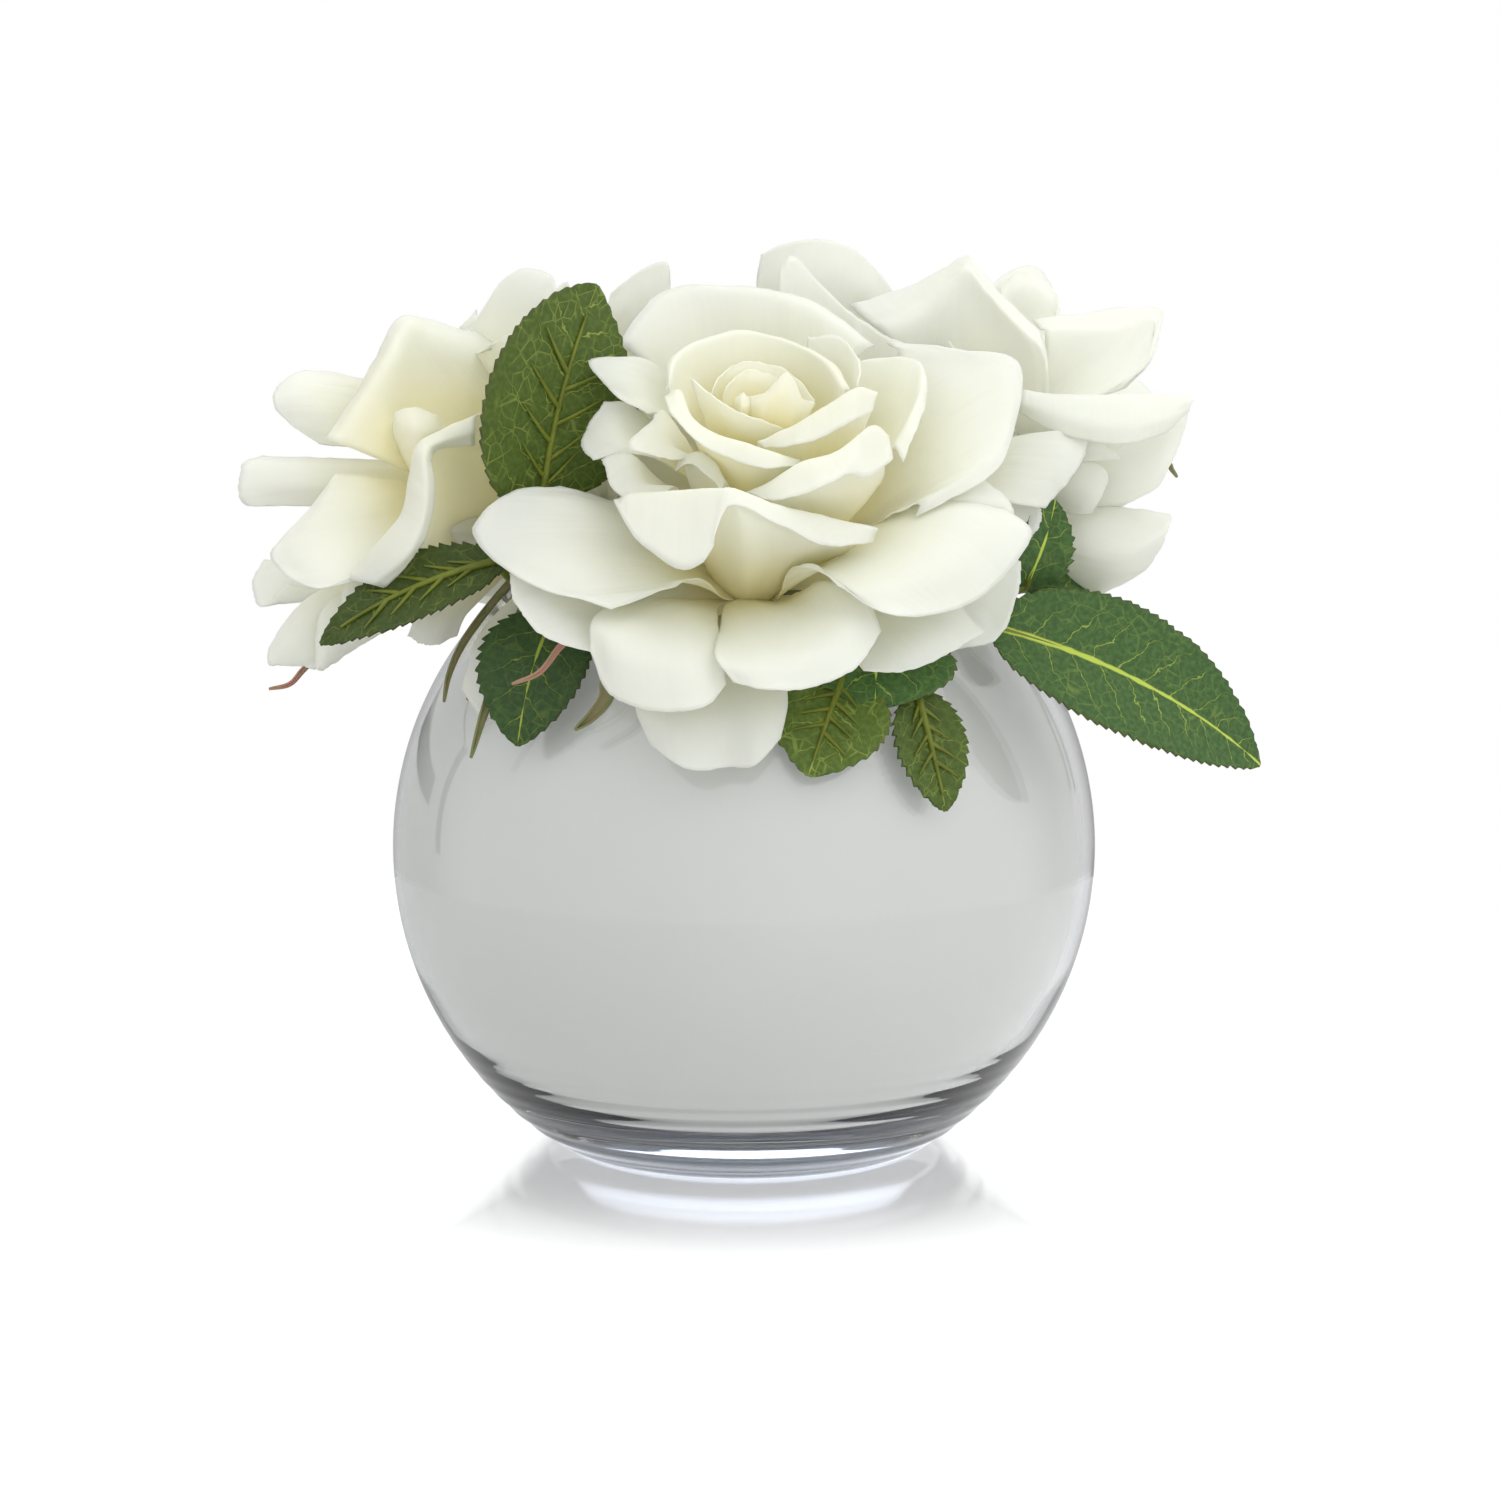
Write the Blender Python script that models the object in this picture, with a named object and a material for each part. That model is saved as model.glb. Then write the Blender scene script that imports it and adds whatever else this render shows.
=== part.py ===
"""A round glass bowl of five white roses with their leaves, for Blender 4.5.

Metres, +Z up. The origin is the centre of the bowl's foot, on the surface that
it stands on. Sizes below are in millimetres and are turned to metres by MM.
"""

import math

import bmesh
import bpy
import numpy as np

MM = 0.001

# The bowl: a blown ball of clear glass with a thick foot and a wide mouth
BALL_RADIUS = 75.0
BALL_HEIGHT = 64.0
CAVITY_RADIUS = 71.3
CAVITY_HEIGHT = 66.5
MOUTH_HEIGHT = 117.0
BOWL_SIDES = 30

# Gaps and wall thicknesses
GAP = 0.4
HOLE_ROOM = 1.4 * GAP
HOLE_OVERRUN = 6.0
FOAM_ROOM = 1.6
PETAL_THICKNESS = 0.7
LEAF_THICKNESS = 0.8
STEM_RADIUS = 2.0
TWIG_RADIUS = 1.1
TWIG_TAPER = 0.2
PETIOLE_RADII = (0.9, 0.85, 0.7)
JOINT_SHIFT = (-0.04, 0.05, 0.14)

# How far from its bloom's axis, and how far up it, a petal stands on the core
INNER_ROOT, OUTER_ROOT = 3.0, 11.5
INNER_FOOT, OUTER_FOOT = 8.0, 3.0

# How wide the point in a rolled lip is, as a share of half the petal
PEAK_SPREAD = 0.25

# How finely the parts are cut
FINE_STEPS = 60
SEARCH_STEPS = 40
LEAF_CUT = (8, 2)
SEPAL_CUT = (3, 2)
BUD_SIDES = 10
CALYX_SIDES = 8
STEM_SIDES = 6
TWIG_SIDES = 5
FOAM_SIDES = 20
HOLE_SIDES = 8

# What the thinning of the slivers leaves of a rose's faces, and of a stem's
ROSE_KEPT = 0.62
STEM_KEPT = 0.75

# The calyx under a bloom, as pairs of radius and height, and the sepals at its rim
CALYX = [(0, -10), (2.6, -10), (4.8, -7), (6.2, -3), (7.4, 1.0), (0, 1.2)]
SEPAL_ROOT = (4.5, -0.5)
SEPAL_WIDTH = 6.5
SEPAL_REACH, SEPAL_DROP = 0.8, 0.5


def smooth(t):
    """Rises from 0 to 1 with no corner at either end."""
    t = np.clip(t, 0.0, 1.0)
    return t * t * (3.0 - 2.0 * t)


def petal(turn, reach, height, width, rise, **more):
    """One petal's measures: degrees, and millimetres in its bloom's own frame."""
    shape = dict(
        turn=turn,
        reach=reach,
        height=height,
        width=width,
        rise=rise,
        hook=0.0,
        curl=0.0,
        start=0.75,
        fold=1.0,
        peak=0.0,
        cup=40.0,
        round=0.3,
        claw=0.25,
        belly=0.6,
        taper=0.35,
        root=None,
        foot=None,
        slant=0.0,
        cut=(3, 4),
    )
    shape.update(more)
    return shape


# Each bloom's place and the way that it looks
BLOOM_PLACES = {
    "front": ((4.3, -31.0, 122.5), (0.0, -0.53, 0.848)),
    "left": ((-43.0, 0.0, 134.0), (-0.62, -0.60, 0.50)),
    "right": ((45.0, 6.0, 144.0), (0.55, -0.60, 0.58)),
    "back_right": ((22.0, 28.0, 132.0), (0.10, 0.45, 0.88)),
    "back_left": ((-30.0, 26.0, 130.0), (-0.25, 0.45, 0.85)),
}

# The solid middle of each bloom: how many petals of its heart it stands for, its radius and its height
BUDS = {
    "front": (9, 11.5, 60.0),
    "left": (2, 7.0, 43.0),
    "right": (2, 6.5, 37.0),
    "back_right": (3, 9.0, 50.0),
    "back_left": (3, 9.0, 46.0),
}

# The petals outside each bloom's heart, from the inside out
PETALS = {
    "front": [
        # the second ring round the heart
        petal(232, 20, 56, 46, 40, cup=19, curl=110, start=0.84, fold=0.5, round=0.35, taper=0.1, slant=-0.06),
        petal(318, 19, 55, 46, 40, cup=18, curl=110, start=0.84, fold=0.5, round=0.35, taper=0.1, slant=0.08),
        petal(30, 21, 58, 46, 40, cup=19, curl=90, start=0.88, round=0.3, taper=0.1),
        petal(110, 22, 60, 50, 40, cup=20, curl=40, start=0.88, round=0.3, taper=0.1),
        # the tongue and the petals at its sides
        petal(262, 30, 56, 66, 44, cup=60, curl=160, start=0.74, fold=0.35, peak=1.0, round=0.5, slant=-0.06,
              cut=(4, 6)),
        petal(325, 25, 54, 50, 44, cup=22, curl=170, start=0.86, round=0.3, slant=0.06),
        petal(185, 26, 52, 50, 44, cup=22, curl=100, start=0.84, round=0.3),
        # the wide outer petals at the sides
        petal(190, 61, 32, 60, 40, cup=44, round=0.3, taper=0.5, belly=0.5, hook=10),
        petal(346, 58, 32, 60, 40, cup=44, round=0.3, taper=0.5, belly=0.5, hook=10),
        petal(17, 56, 44, 60, 34, cup=50, hook=20),
        petal(5, 70, 42, 46, 40, cup=60, taper=0.6, hook=20),
        # the ones behind
        petal(45, 60, 38, 60, 34, cup=60, hook=20),
        petal(82, 46, 55, 56, 30, cup=60, hook=20, taper=0.6),
        petal(110, 40, 57, 64, 30, cup=50, hook=20, round=0.2, taper=0.2),
        petal(150, 44, 49, 50, 34, cup=60, hook=30, taper=0.5),
        # the lowest ones
        petal(222, 56, 23, 46, 62, cup=-60, hook=30, foot=3, cut=(3, 6)),
        petal(322, 56, 27, 46, 62, cup=-60, hook=30, foot=3, cut=(3, 6)),
        petal(243, 58, 16, 50, 46, cup=90, hook=80, round=0.2, taper=0.2, foot=6, cut=(3, 6)),
        petal(281, 53, 21, 50, 46, cup=90, hook=80, round=0.2, taper=0.2, foot=6, cut=(3, 6)),
        petal(255, 60, 5, 46, 80, cup=90, hook=40, foot=2, cut=(3, 6)),
    ],
    "left": [
        # the trumpet
        petal(95, 30, 44, 78, 28, cup=32, curl=80, start=0.82, fold=0.4, peak=0.9, round=0.3),
        petal(166, 26, 43, 50, 28, cup=28, curl=80, start=0.85, fold=0.4, round=0.3),
        petal(212, 42, 39, 52, 34, cup=36, round=0.25),
        petal(308, 22, 46, 56, 26, cup=26, curl=120, start=0.76, fold=0.5, round=0.3),
        # the hidden side of the trumpet
        petal(20, 30, 40, 50, 30, cup=30, curl=60, start=0.8),
        petal(55, 44, 34, 44, 34, cup=40, curl=40, start=0.8),
        # the outer petals
        petal(145, 60, 32, 36, 40, cup=50, taper=0.4),
        petal(161, 60, 33, 30, 46, cup=50, taper=0.3, claw=0.5),
        petal(192, 60, 25, 28, 50, cup=50, taper=0.3),
        petal(207, 61, 24, 34, 56, cup=50, hook=20),
        petal(224, 50, 22, 34, 60, cup=50, hook=20),
        petal(266, 42, 19, 40, 60, cup=60, hook=30),
    ],
    "right": [
        # the trumpet
        petal(140, 37, 38, 66, 30, cup=40, curl=80, start=0.8, fold=0.4, peak=0.9, round=0.35),
        petal(48, 38, 40, 52, 30, cup=34, curl=80, start=0.82, fold=0.4, round=0.2),
        petal(300, 24, 45, 66, 26, cup=28, curl=130, start=0.76, fold=0.5, round=0.3),
        # the hidden side of the trumpet
        petal(220, 26, 40, 50, 28, cup=28, curl=60, start=0.8),
        petal(0, 34, 36, 44, 32, cup=34, curl=50, start=0.8),
        # the outer petals
        petal(80, 44, 22, 30, 50, cup=50, hook=20),
        petal(2, 42, 22, 50, 46, cup=46, hook=20),
        petal(345, 46, 16, 44, 56, cup=40, curl=60, start=0.8),
        petal(322, 46, 5, 50, 70, cup=50, hook=20),
        petal(290, 36, 20, 40, 56, cup=44, hook=20),
        petal(30, 56, 24, 40, 56, cup=50, hook=20),
    ],
    "back_right": [
        # the ring round the heart
        petal(255, 33, 50, 50, 30, cup=34, curl=30, start=0.85, round=0.25),
        petal(205, 30, 48, 44, 30, cup=30, curl=40, start=0.85, round=0.25),
        petal(330, 26, 46, 50, 30, cup=26, curl=60, start=0.85, round=0.25),
        petal(60, 26, 46, 50, 30, cup=26, curl=60, start=0.85, round=0.25),
        petal(140, 26, 46, 50, 30, cup=26, curl=60, start=0.85, round=0.25),
        # the outer petals
        petal(350, 46, 34, 50, 44, cup=46, hook=20),
        petal(40, 54, 30, 54, 44, cup=50, hook=20),
        petal(92, 58, 26, 54, 46, cup=50, hook=20),
        petal(141, 54, 30, 50, 46, cup=50, hook=20),
        petal(69, 56, 12, 50, 70, cup=-60, hook=20),
        petal(115, 56, 12, 50, 70, cup=-60, hook=20),
    ],
    "back_left": [
        # the ring round the heart
        petal(325, 28, 50, 44, 30, cup=30, curl=20, start=0.85, round=0.3, taper=0.5),
        petal(277, 26, 46, 34, 30, cup=24, curl=30, start=0.85, round=0.4, taper=0.6),
        petal(236, 27, 46, 34, 30, cup=24, curl=30, start=0.85, round=0.4, taper=0.6),
        petal(40, 26, 44, 50, 30, cup=26, curl=60, start=0.85, round=0.25),
        petal(130, 26, 44, 50, 30, cup=26, curl=60, start=0.85, round=0.25),
        # the outer petals
        petal(190, 48, 28, 50, 46, cup=46, hook=20),
        petal(145, 54, 26, 54, 44, cup=50, hook=20),
        petal(97, 58, 26.3, 54, 46, cup=50, hook=20),
        petal(45, 52, 30, 50, 46, cup=50, hook=20),
        petal(120, 56, 6, 50, 76, cup=-60, hook=20, foot=2),
        petal(165, 56, 6, 50, 76, cup=-60, hook=20, foot=2),
    ],
}

# Upright walls that each bloom stays behind: direction, and how far along it may reach
WALLS = {
    "front": [((-0.6, 0.8, 0.0), -12.0), ((0.55, 0.83, 0.0), 11.0), ((0.0, 1.0, 0.0), -6.0)],
    "left": [((0.6, -0.8, 0.0), 0.5), ((0.2, 0.98, 0.0), 9.0)],
    "right": [((-0.55, -0.83, 0.0), -13.5), ((-0.6, 0.8, 0.0), -6.0)],
    "back_right": [((0.0, -1.0, 0.0), 4.5), ((0.6, -0.8, 0.0), 4.5), ((-1.0, 0.1, 0.0), 3.0)],
    "back_left": [((0.0, -1.0, 0.0), 4.5), ((1.0, -0.1, 0.0), -5.0), ((-0.2, -0.98, 0.0), -11.0)],
}


def set_root(p, share):
    """Petals stand on their core in the order of the list: share runs from 0 in the heart to 1."""
    p = dict(p)
    if p["root"] is None:
        p["root"] = INNER_ROOT + (OUTER_ROOT - INNER_ROOT) * share
    if p["foot"] is None:
        p["foot"] = INNER_FOOT + (OUTER_FOOT - INNER_FOOT) * share
    return p


# How far each bloom's petals stay off the glass, with room for the leaves under them
BALL_MARGIN = {"front": 6.0, "left": 3.0, "right": 3.0, "back_right": 5.0, "back_left": 3.0}


def arc_through(p, s):
    """The bending and the length that bring the middle of a petal to its tip."""
    out = p["reach"] - p["root"]
    up = p["height"] - p["foot"]
    wanted = math.atan2(out, up)
    blend = smooth(s / 0.8)
    start = math.radians(p["rise"]) * (1 - blend) + math.radians(p["hook"]) * s**3
    low, high = -2.5, 4.2
    for _ in range(SEARCH_STEPS):
        spread = (low + high) / 2
        angle = start + spread * blend
        if math.atan2(np.sin(angle).sum(), np.cos(angle).sum()) > wanted:
            high = spread
        else:
            low = spread
    span = math.hypot(np.sin(angle).mean(), np.cos(angle).mean())
    return angle, math.hypot(out, up) / span


def petal_points(p, across, along):
    """The middle surface of a petal in its bloom's frame, as a grid of points."""
    fine = FINE_STEPS
    s = np.linspace(0.0, 1.0, fine + 1)[None, :]
    u = np.linspace(-1.0, 1.0, across + 1)[:, None]
    body, full = arc_through(p, s)
    length = full * (1.0 - p["round"] * np.abs(u) ** 2.2) * (1.0 + p["slant"] * u)
    spared = p["peak"] * np.exp(-((u / PEAK_SPREAD) ** 2))
    curl = np.radians(p["curl"]) * (1.0 - spared)
    lip = full * (1.0 - p["start"])
    rolled = smooth((s * length - full * p["start"]) / (lip * p["fold"]))
    angle = body + curl * rolled
    step = length / fine
    out = p["root"] + np.cumsum(np.sin(angle) * step, axis=1) - np.sin(angle) * step
    up = p["foot"] + np.cumsum(np.cos(angle) * step, axis=1) - np.cos(angle) * step
    widening = np.sin(np.pi / 2 * np.clip(s / p["belly"], 0.0, 1.0))
    narrowing = np.clip((s - p["belly"]) / (1.0 - p["belly"]), 0.0, 1.0) ** 2
    half = p["width"] / 2 * (p["claw"] + (1 - p["claw"]) * widening) * (1 - p["taper"] * narrowing)
    hug = smooth(s / 0.55)
    hollow = (1.0 - hug) / np.maximum(out, 3.0) + hug / p["cup"]
    side = np.sin(u * half * hollow) / hollow
    lift = (1.0 - np.cos(u * half * hollow)) / hollow
    out = out - lift * np.cos(angle)
    up = up + lift * np.sin(angle)
    turn = math.radians(p["turn"])
    x = out * math.cos(turn) - side * math.sin(turn)
    y = out * math.sin(turn) + side * math.cos(turn)
    grid = np.stack([x, y, up + 0 * u], axis=-1)
    picked = np.round(np.linspace(0, fine, along + 1)).astype(int)
    return grid[:, picked]


def bloom_frame(axis):
    """Rows of a bloom's own right, back and axis directions in the world."""
    axis = np.array(axis, float) / np.linalg.norm(axis)
    right = np.array([1.0, 0.0, 0.0]) - axis[0] * axis
    right /= np.linalg.norm(right)
    return np.array([right, np.cross(axis, right), axis])


def behind_walls(points, walls, soft=2.0):
    """Bends points back so that they stay on the near side of each wall."""
    points = points.copy()
    for direction, limit in walls:
        direction = np.array(direction) / np.linalg.norm(direction)
        past = points @ direction - limit
        held = -soft * np.logaddexp(0.0, -past / soft)
        points += (held - past)[..., None] * direction
    return points


def off_the_ball(points, margin):
    """Bends points out of the glass, but leaves those over the mouth alone."""
    centre = np.array([0.0, 0.0, BALL_HEIGHT])
    ray = points - centre
    far = np.linalg.norm(ray, axis=-1, keepdims=True)
    lean = np.degrees(np.arctan2(np.hypot(ray[..., :1], ray[..., 1:2]), ray[..., 2:]))
    least = (BALL_RADIUS + margin) * smooth((lean - 35.0) / 6.0)
    soft = 1.0
    pushed = least + soft * np.logaddexp(0.0, (far - least) / soft)
    return centre + ray / far * np.where(least > 1.0, pushed, far)


def petal_grids(bloom):
    """Every petal of a bloom, in millimetres and in the world."""
    base, axis = BLOOM_PLACES[bloom]
    frame = bloom_frame(axis)
    heart = BUDS[bloom][0]
    count = heart + len(PETALS[bloom])
    grids = []
    for index, measures in enumerate(PETALS[bloom], heart):
        measures = set_root(measures, index / count)
        grid = petal_points(measures, *measures["cut"]) @ frame + np.array(base)
        grids.append(off_the_ball(behind_walls(grid, WALLS[bloom]), BALL_MARGIN[bloom]))
    return grids


def leaf(base, tip, facing, width, **more):
    """One leaf's measures in the world, in millimetres."""
    shape = dict(
        base=base,
        tip=tip,
        facing=facing,
        width=width,
        arch=4.0,
        sweep=0.0,
        fold=12.0,
        widest=0.42,
        teeth=True,
        off_ball=0.0,
    )
    shape.update(more)
    return shape


def leaf_line(p, s):
    """The midrib of a leaf, with its side and upward directions at each point."""
    base, tip, facing = (np.array(p[key], float) for key in ("base", "tip", "facing"))
    along = (tip - base) / np.linalg.norm(tip - base)
    facing = facing - (facing @ along) * along
    facing /= np.linalg.norm(facing)
    side = np.cross(facing, along)
    rise = 4.0 * s * (1.0 - s)
    line = base + np.outer(s, tip - base) + np.outer(rise, facing * p["arch"] + side * p["sweep"])
    tangent = np.gradient(line, axis=0)
    tangent /= np.linalg.norm(tangent, axis=1, keepdims=True)
    across = np.cross(facing, tangent)
    across /= np.linalg.norm(across, axis=1, keepdims=True)
    return line, across, np.cross(tangent, across)


def leaf_points(p, rows, columns):
    """The middle surface of a leaf, its rim cut into teeth."""
    s = np.linspace(0.0, 1.0, rows + 1)
    line, side, up = leaf_line(p, s)
    bend = p["widest"] / (1.0 - p["widest"])
    outline = s ** (0.75 * bend) * (1.0 - s) ** 0.75
    top = p["widest"] ** (0.75 * bend) * (1.0 - p["widest"]) ** 0.75
    half = np.maximum(p["width"] / 2 * outline / top, 0.5)
    t = np.linspace(-1.0, 1.0, columns + 1)
    cut = np.where((np.arange(rows + 1) % 2 == 1) & (half > 1.5), 0.88, 1.0) if p["teeth"] else np.ones(rows + 1)
    reach = np.where(np.abs(t)[:, None] > 0.99, cut[None, :], 1.0)
    angle = math.radians(p["fold"])
    out = t[:, None] * half[None, :] * reach
    lift = np.abs(out) * math.sin(angle)
    grid = line[None] + side[None] * (out * math.cos(angle))[..., None] + up[None] * lift[..., None]
    if p["off_ball"]:
        grid = off_the_ball(grid, p["off_ball"])
    return grid


# Leaf sprays: their leaves, and the twigs that carry them, as points from the foam to the leaves
SPRAYS = {
    "leaf_upper_left": dict(
        twig=[(-14, -8, 40), (-24, -14, 92), (-34, -25, 118), (-38.6, -36.6, 134), (-39.4, -37.3, 144.5)],
        leaves=[leaf((-39.9, -37.6, 141), (-29.5, -29.6, 187), (0.6, -0.8, 0.1), 38, arch=3, sweep=4, fold=6)],
    ),
    "leaves_left": dict(
        twig=[(-16, -14, 40), (-27, -22, 92), (-37, -31, 120.5), (-47, -41, 127), (-50, -46, 131)],
        leaves=[
            leaf((-49, -45, 132), (-87, -44, 114.5), (-0.1, -0.75, 0.7), 24, arch=4, fold=8),
            leaf((-41, -42, 121), (-46, -57.5, 95.5), (-0.5, -0.8, 0.4), 26, arch=4, fold=8, off_ball=3.0),
        ],
    ),
    "leaves_front": dict(
        twig=[(8, -16, 40), (15, -26, 92), (21, -39, 118), (25, -50, 121.5), (26.5, -57, 118)],
        leaves=[
            leaf((20.5, -60, 111), (13, -72.6, 92), (0, -0.85, 0.5), 26, arch=1, fold=4, off_ball=1.8),
            leaf((27, -53, 119.5), (26.5, -65, 104.5), (0.1, -0.75, 0.65), 34, arch=1, fold=-4, off_ball=3.4),
            leaf((35, -57.5, 107), (41, -65.5, 83.5), (0.2, -0.9, 0.3), 16, arch=1, fold=6, off_ball=1.8),
        ],
    ),
    "leaves_right": dict(
        twig=[(16, -8, 40), (29, -14, 92), (41, -22, 118.5), (48, -34, 121.5), (51, -42, 118.5)],
        leaves=[
            leaf((50.5, -42, 118), (108, -26, 86), (0.25, -0.8, 0.55), 38, arch=5, fold=10, sweep=1.5),
            leaf((58, -31, 124), (64.4, -30, 142.4), (0.4, -0.9, 0.2), 15, arch=2, fold=8),
            leaf((59, -28, 123.5), (76, -16, 117), (0.3, -0.5, 0.8), 16, arch=2, fold=8),
        ],
    ),
    "leaves_back": dict(
        twig=[(0, 18, 40), (0, 30, 92), (-4, 44, 119.5), (-8, 60, 122), (-9, 66, 119)],
        leaves=[
            leaf((-9, 64, 119), (-14, 92, 88), (0, 0.7, 0.7), 30, arch=5, fold=10, off_ball=3.0),
            leaf((-12.5, 59.5, 122.5), (-44, 76, 104), (0, 0.5, 0.8), 24, arch=4, fold=10, off_ball=3.0),
        ],
    ),
}

# Where each rose's stem runs: low in the foam, where it leaves it, and one bend above
STEMS = {
    "front": [(1, -8, 30), (3, -19, 93), (4.0, -24.0, 106)],
    "left": [(-10, 2, 30), (-24, 3, 93), (-33, 4.5, 118)],
    "right": [(12, 4, 30), (27, 8, 93), (36, 10, 124)],
    "back_right": [(6, 12, 30), (14, 19, 93), (18, 22, 112)],
    "back_left": [(-5, 12, 30), (-17, 18, 93), (-24, 20.5, 110)],
}

# Sepals under a bloom: turn, how far they hang below the calyx rim, length
SEPALS = {
    "front": [(30, 26), (102, 26), (174, 26), (236, 12), (304, 12)],
    "left": [(60, 24), (135, 16), (200, 34), (270, 26), (340, 26)],
    "right": [(10, 34), (80, 16), (150, 16), (230, 20), (320, 30)],
    "back_right": [(20, 20), (92, 18), (164, 14), (236, 18), (308, 18)],
    "back_left": [(20, 14), (92, 13), (164, 14), (236, 10), (308, 18)],
}

def bud_profile(radius, height):
    """The outline of a bud, as pairs of radius and height."""
    foot = [(0, 1.6), (8, 1.6), (12.6, 3.0), (12.2, 4.6), ((radius + 12) / 2, 9.0)]
    waist = [(radius, 0.35 * height), (radius, 0.7 * height), (0.75 * radius, 0.88 * height)]
    return foot + waist + [(0.4 * radius, 0.97 * height), (0, height)]


def new_object(name, vertices, faces):
    mesh = bpy.data.meshes.new(name)
    mesh.from_pydata([tuple(v) for v in np.asarray(vertices) * MM], [], faces)
    bm = bmesh.new()
    bm.from_mesh(mesh)
    bmesh.ops.recalc_face_normals(bm, faces=bm.faces)
    if bm.calc_volume(signed=True) < 0:
        bmesh.ops.reverse_faces(bm, faces=bm.faces)
    bm.to_mesh(mesh)
    bm.free()
    body = bpy.data.objects.new(name, mesh)
    bpy.context.scene.collection.objects.link(body)
    return body


def thick_sheet(name, grid, thickness):
    """A closed mesh round a grid of points, cut into triangles alike on both faces."""
    rows, columns = grid.shape[:2]
    normal = np.cross(np.gradient(grid, axis=0), np.gradient(grid, axis=1))
    normal /= np.linalg.norm(normal, axis=-1, keepdims=True) + 1e-12
    top = (grid + normal * thickness / 2).reshape(-1, 3)
    bottom = (grid - normal * thickness / 2).reshape(-1, 3)
    count = rows * columns
    faces = []
    for i in range(rows - 1):
        for j in range(columns - 1):
            a, b = i * columns + j, (i + 1) * columns + j
            c, d = b + 1, a + 1
            faces += [(a, b, c), (a, c, d)]
            faces += [(a + count, c + count, b + count), (a + count, d + count, c + count)]
    rim = [i * columns for i in range(rows)]
    rim += [(rows - 1) * columns + j for j in range(1, columns)]
    rim += [i * columns + columns - 1 for i in range(rows - 2, -1, -1)]
    rim += [j for j in range(columns - 2, 0, -1)]
    for a, b in zip(rim, rim[1:] + rim[:1]):
        faces += [(b, a, a + count), (b, a + count, b + count)]
    return new_object(name, np.concatenate([top, bottom]), faces)


def turned(name, profile, sides, base=(0, 0, 0), axis=(0, 0, 1)):
    """A solid of revolution from (radius, height) pairs that start and end on the axis."""
    frame = bloom_frame(axis)
    points, faces, rings = [], [], []
    for radius, height in profile:
        ring = []
        for k in range(sides if radius > 0 else 1):
            angle = 2 * math.pi * k / sides
            ring.append(len(points))
            points.append([radius * math.cos(angle), radius * math.sin(angle), height])
        rings.append(ring)
    for low, high in zip(rings, rings[1:]):
        for k in range(sides):
            m = (k + 1) % sides
            if len(low) == 1:
                faces.append((low[0], high[m], high[k]))
            elif len(high) == 1:
                faces.append((low[k], low[m], high[0]))
            else:
                faces.append((low[k], low[m], high[m], high[k]))
    return new_object(name, np.array(points) @ frame + np.array(base), faces)


def tube(name, path, radii, sides=8):
    """A closed round bar along a path."""
    path = np.array(path, float)
    tangent = np.gradient(path, axis=0)
    tangent /= np.linalg.norm(tangent, axis=1, keepdims=True)
    side = np.cross(tangent[0], [0.3, 1.0, 0.2])
    points, faces = [], []
    for k, (centre, forward, radius) in enumerate(zip(path, tangent, radii)):
        side = side - (side @ forward) * forward
        side /= np.linalg.norm(side)
        other = np.cross(forward, side)
        for m in range(sides):
            angle = 2 * math.pi * m / sides
            points.append(centre + radius * (math.cos(angle) * side + math.sin(angle) * other))
    for k in range(len(path) - 1):
        for m in range(sides):
            n = (m + 1) % sides
            faces.append((k * sides + m, k * sides + n, (k + 1) * sides + n, (k + 1) * sides + m))
    faces.append(tuple(range(sides - 1, -1, -1)))
    faces.append(tuple((len(path) - 1) * sides + m for m in range(sides)))
    return new_object(name, points, faces)


def eased(points, count):
    """A smooth line through control points, each span cut into equal steps."""
    points = np.array(points, float)
    padded = np.vstack([2 * points[0] - points[1], points, 2 * points[-1] - points[-2]])
    line = []
    for i in range(len(points) - 1):
        a, b, c, d = padded[i : i + 4]
        for t in np.linspace(0.0, 1.0, count, endpoint=False):
            line.append(
                0.5 * (2 * b + (c - a) * t + (2 * a - 5 * b + 4 * c - d) * t**2 + (3 * b - a - 3 * c + d) * t**3)
            )
    return np.array(line + [points[-1]])


def fuse(name, bodies, colour, kept=1.0):
    """Joins overlapping bodies into one closed body and thins out its slivers."""
    target = bodies[0]
    others = bodies[1:]
    paint(target, colour)
    for body in others:
        union = target.modifiers.new("union", "BOOLEAN")
        union.operation = "UNION"
        union.object = body
        union.solver = "MANIFOLD"
    if kept < 1.0:
        thin = target.modifiers.new("thin", "DECIMATE")
        thin.ratio = kept
    finish(target)
    for body in others:
        bpy.data.objects.remove(body)
    keep_skin(target)
    target.name = name
    target.data.name = name
    paint(target, colour)
    return target


def keep_skin(body):
    """Drops the small closed pockets that a union can leave inside a body."""
    bm = bmesh.new()
    bm.from_mesh(body.data)
    left = set(bm.faces)
    shells = []
    while left:
        shell = {left.pop()}
        edge = list(shell)
        while edge:
            face = edge.pop()
            for line in face.edges:
                for other in line.link_faces:
                    if other in left:
                        left.discard(other)
                        shell.add(other)
                        edge.append(other)
        shells.append(shell)
    main_shell = max(shells, key=len)
    rest = [face for shell in shells if shell is not main_shell for face in shell]
    bmesh.ops.delete(bm, geom=rest, context="FACES")
    bm.to_mesh(body.data)
    bm.free()


def finish(body):
    """Turns a body's modifiers into plain mesh."""
    seen = body.evaluated_get(bpy.context.evaluated_depsgraph_get())
    mesh = bpy.data.meshes.new_from_object(seen)
    body.modifiers.clear()
    body.data = mesh


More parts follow.
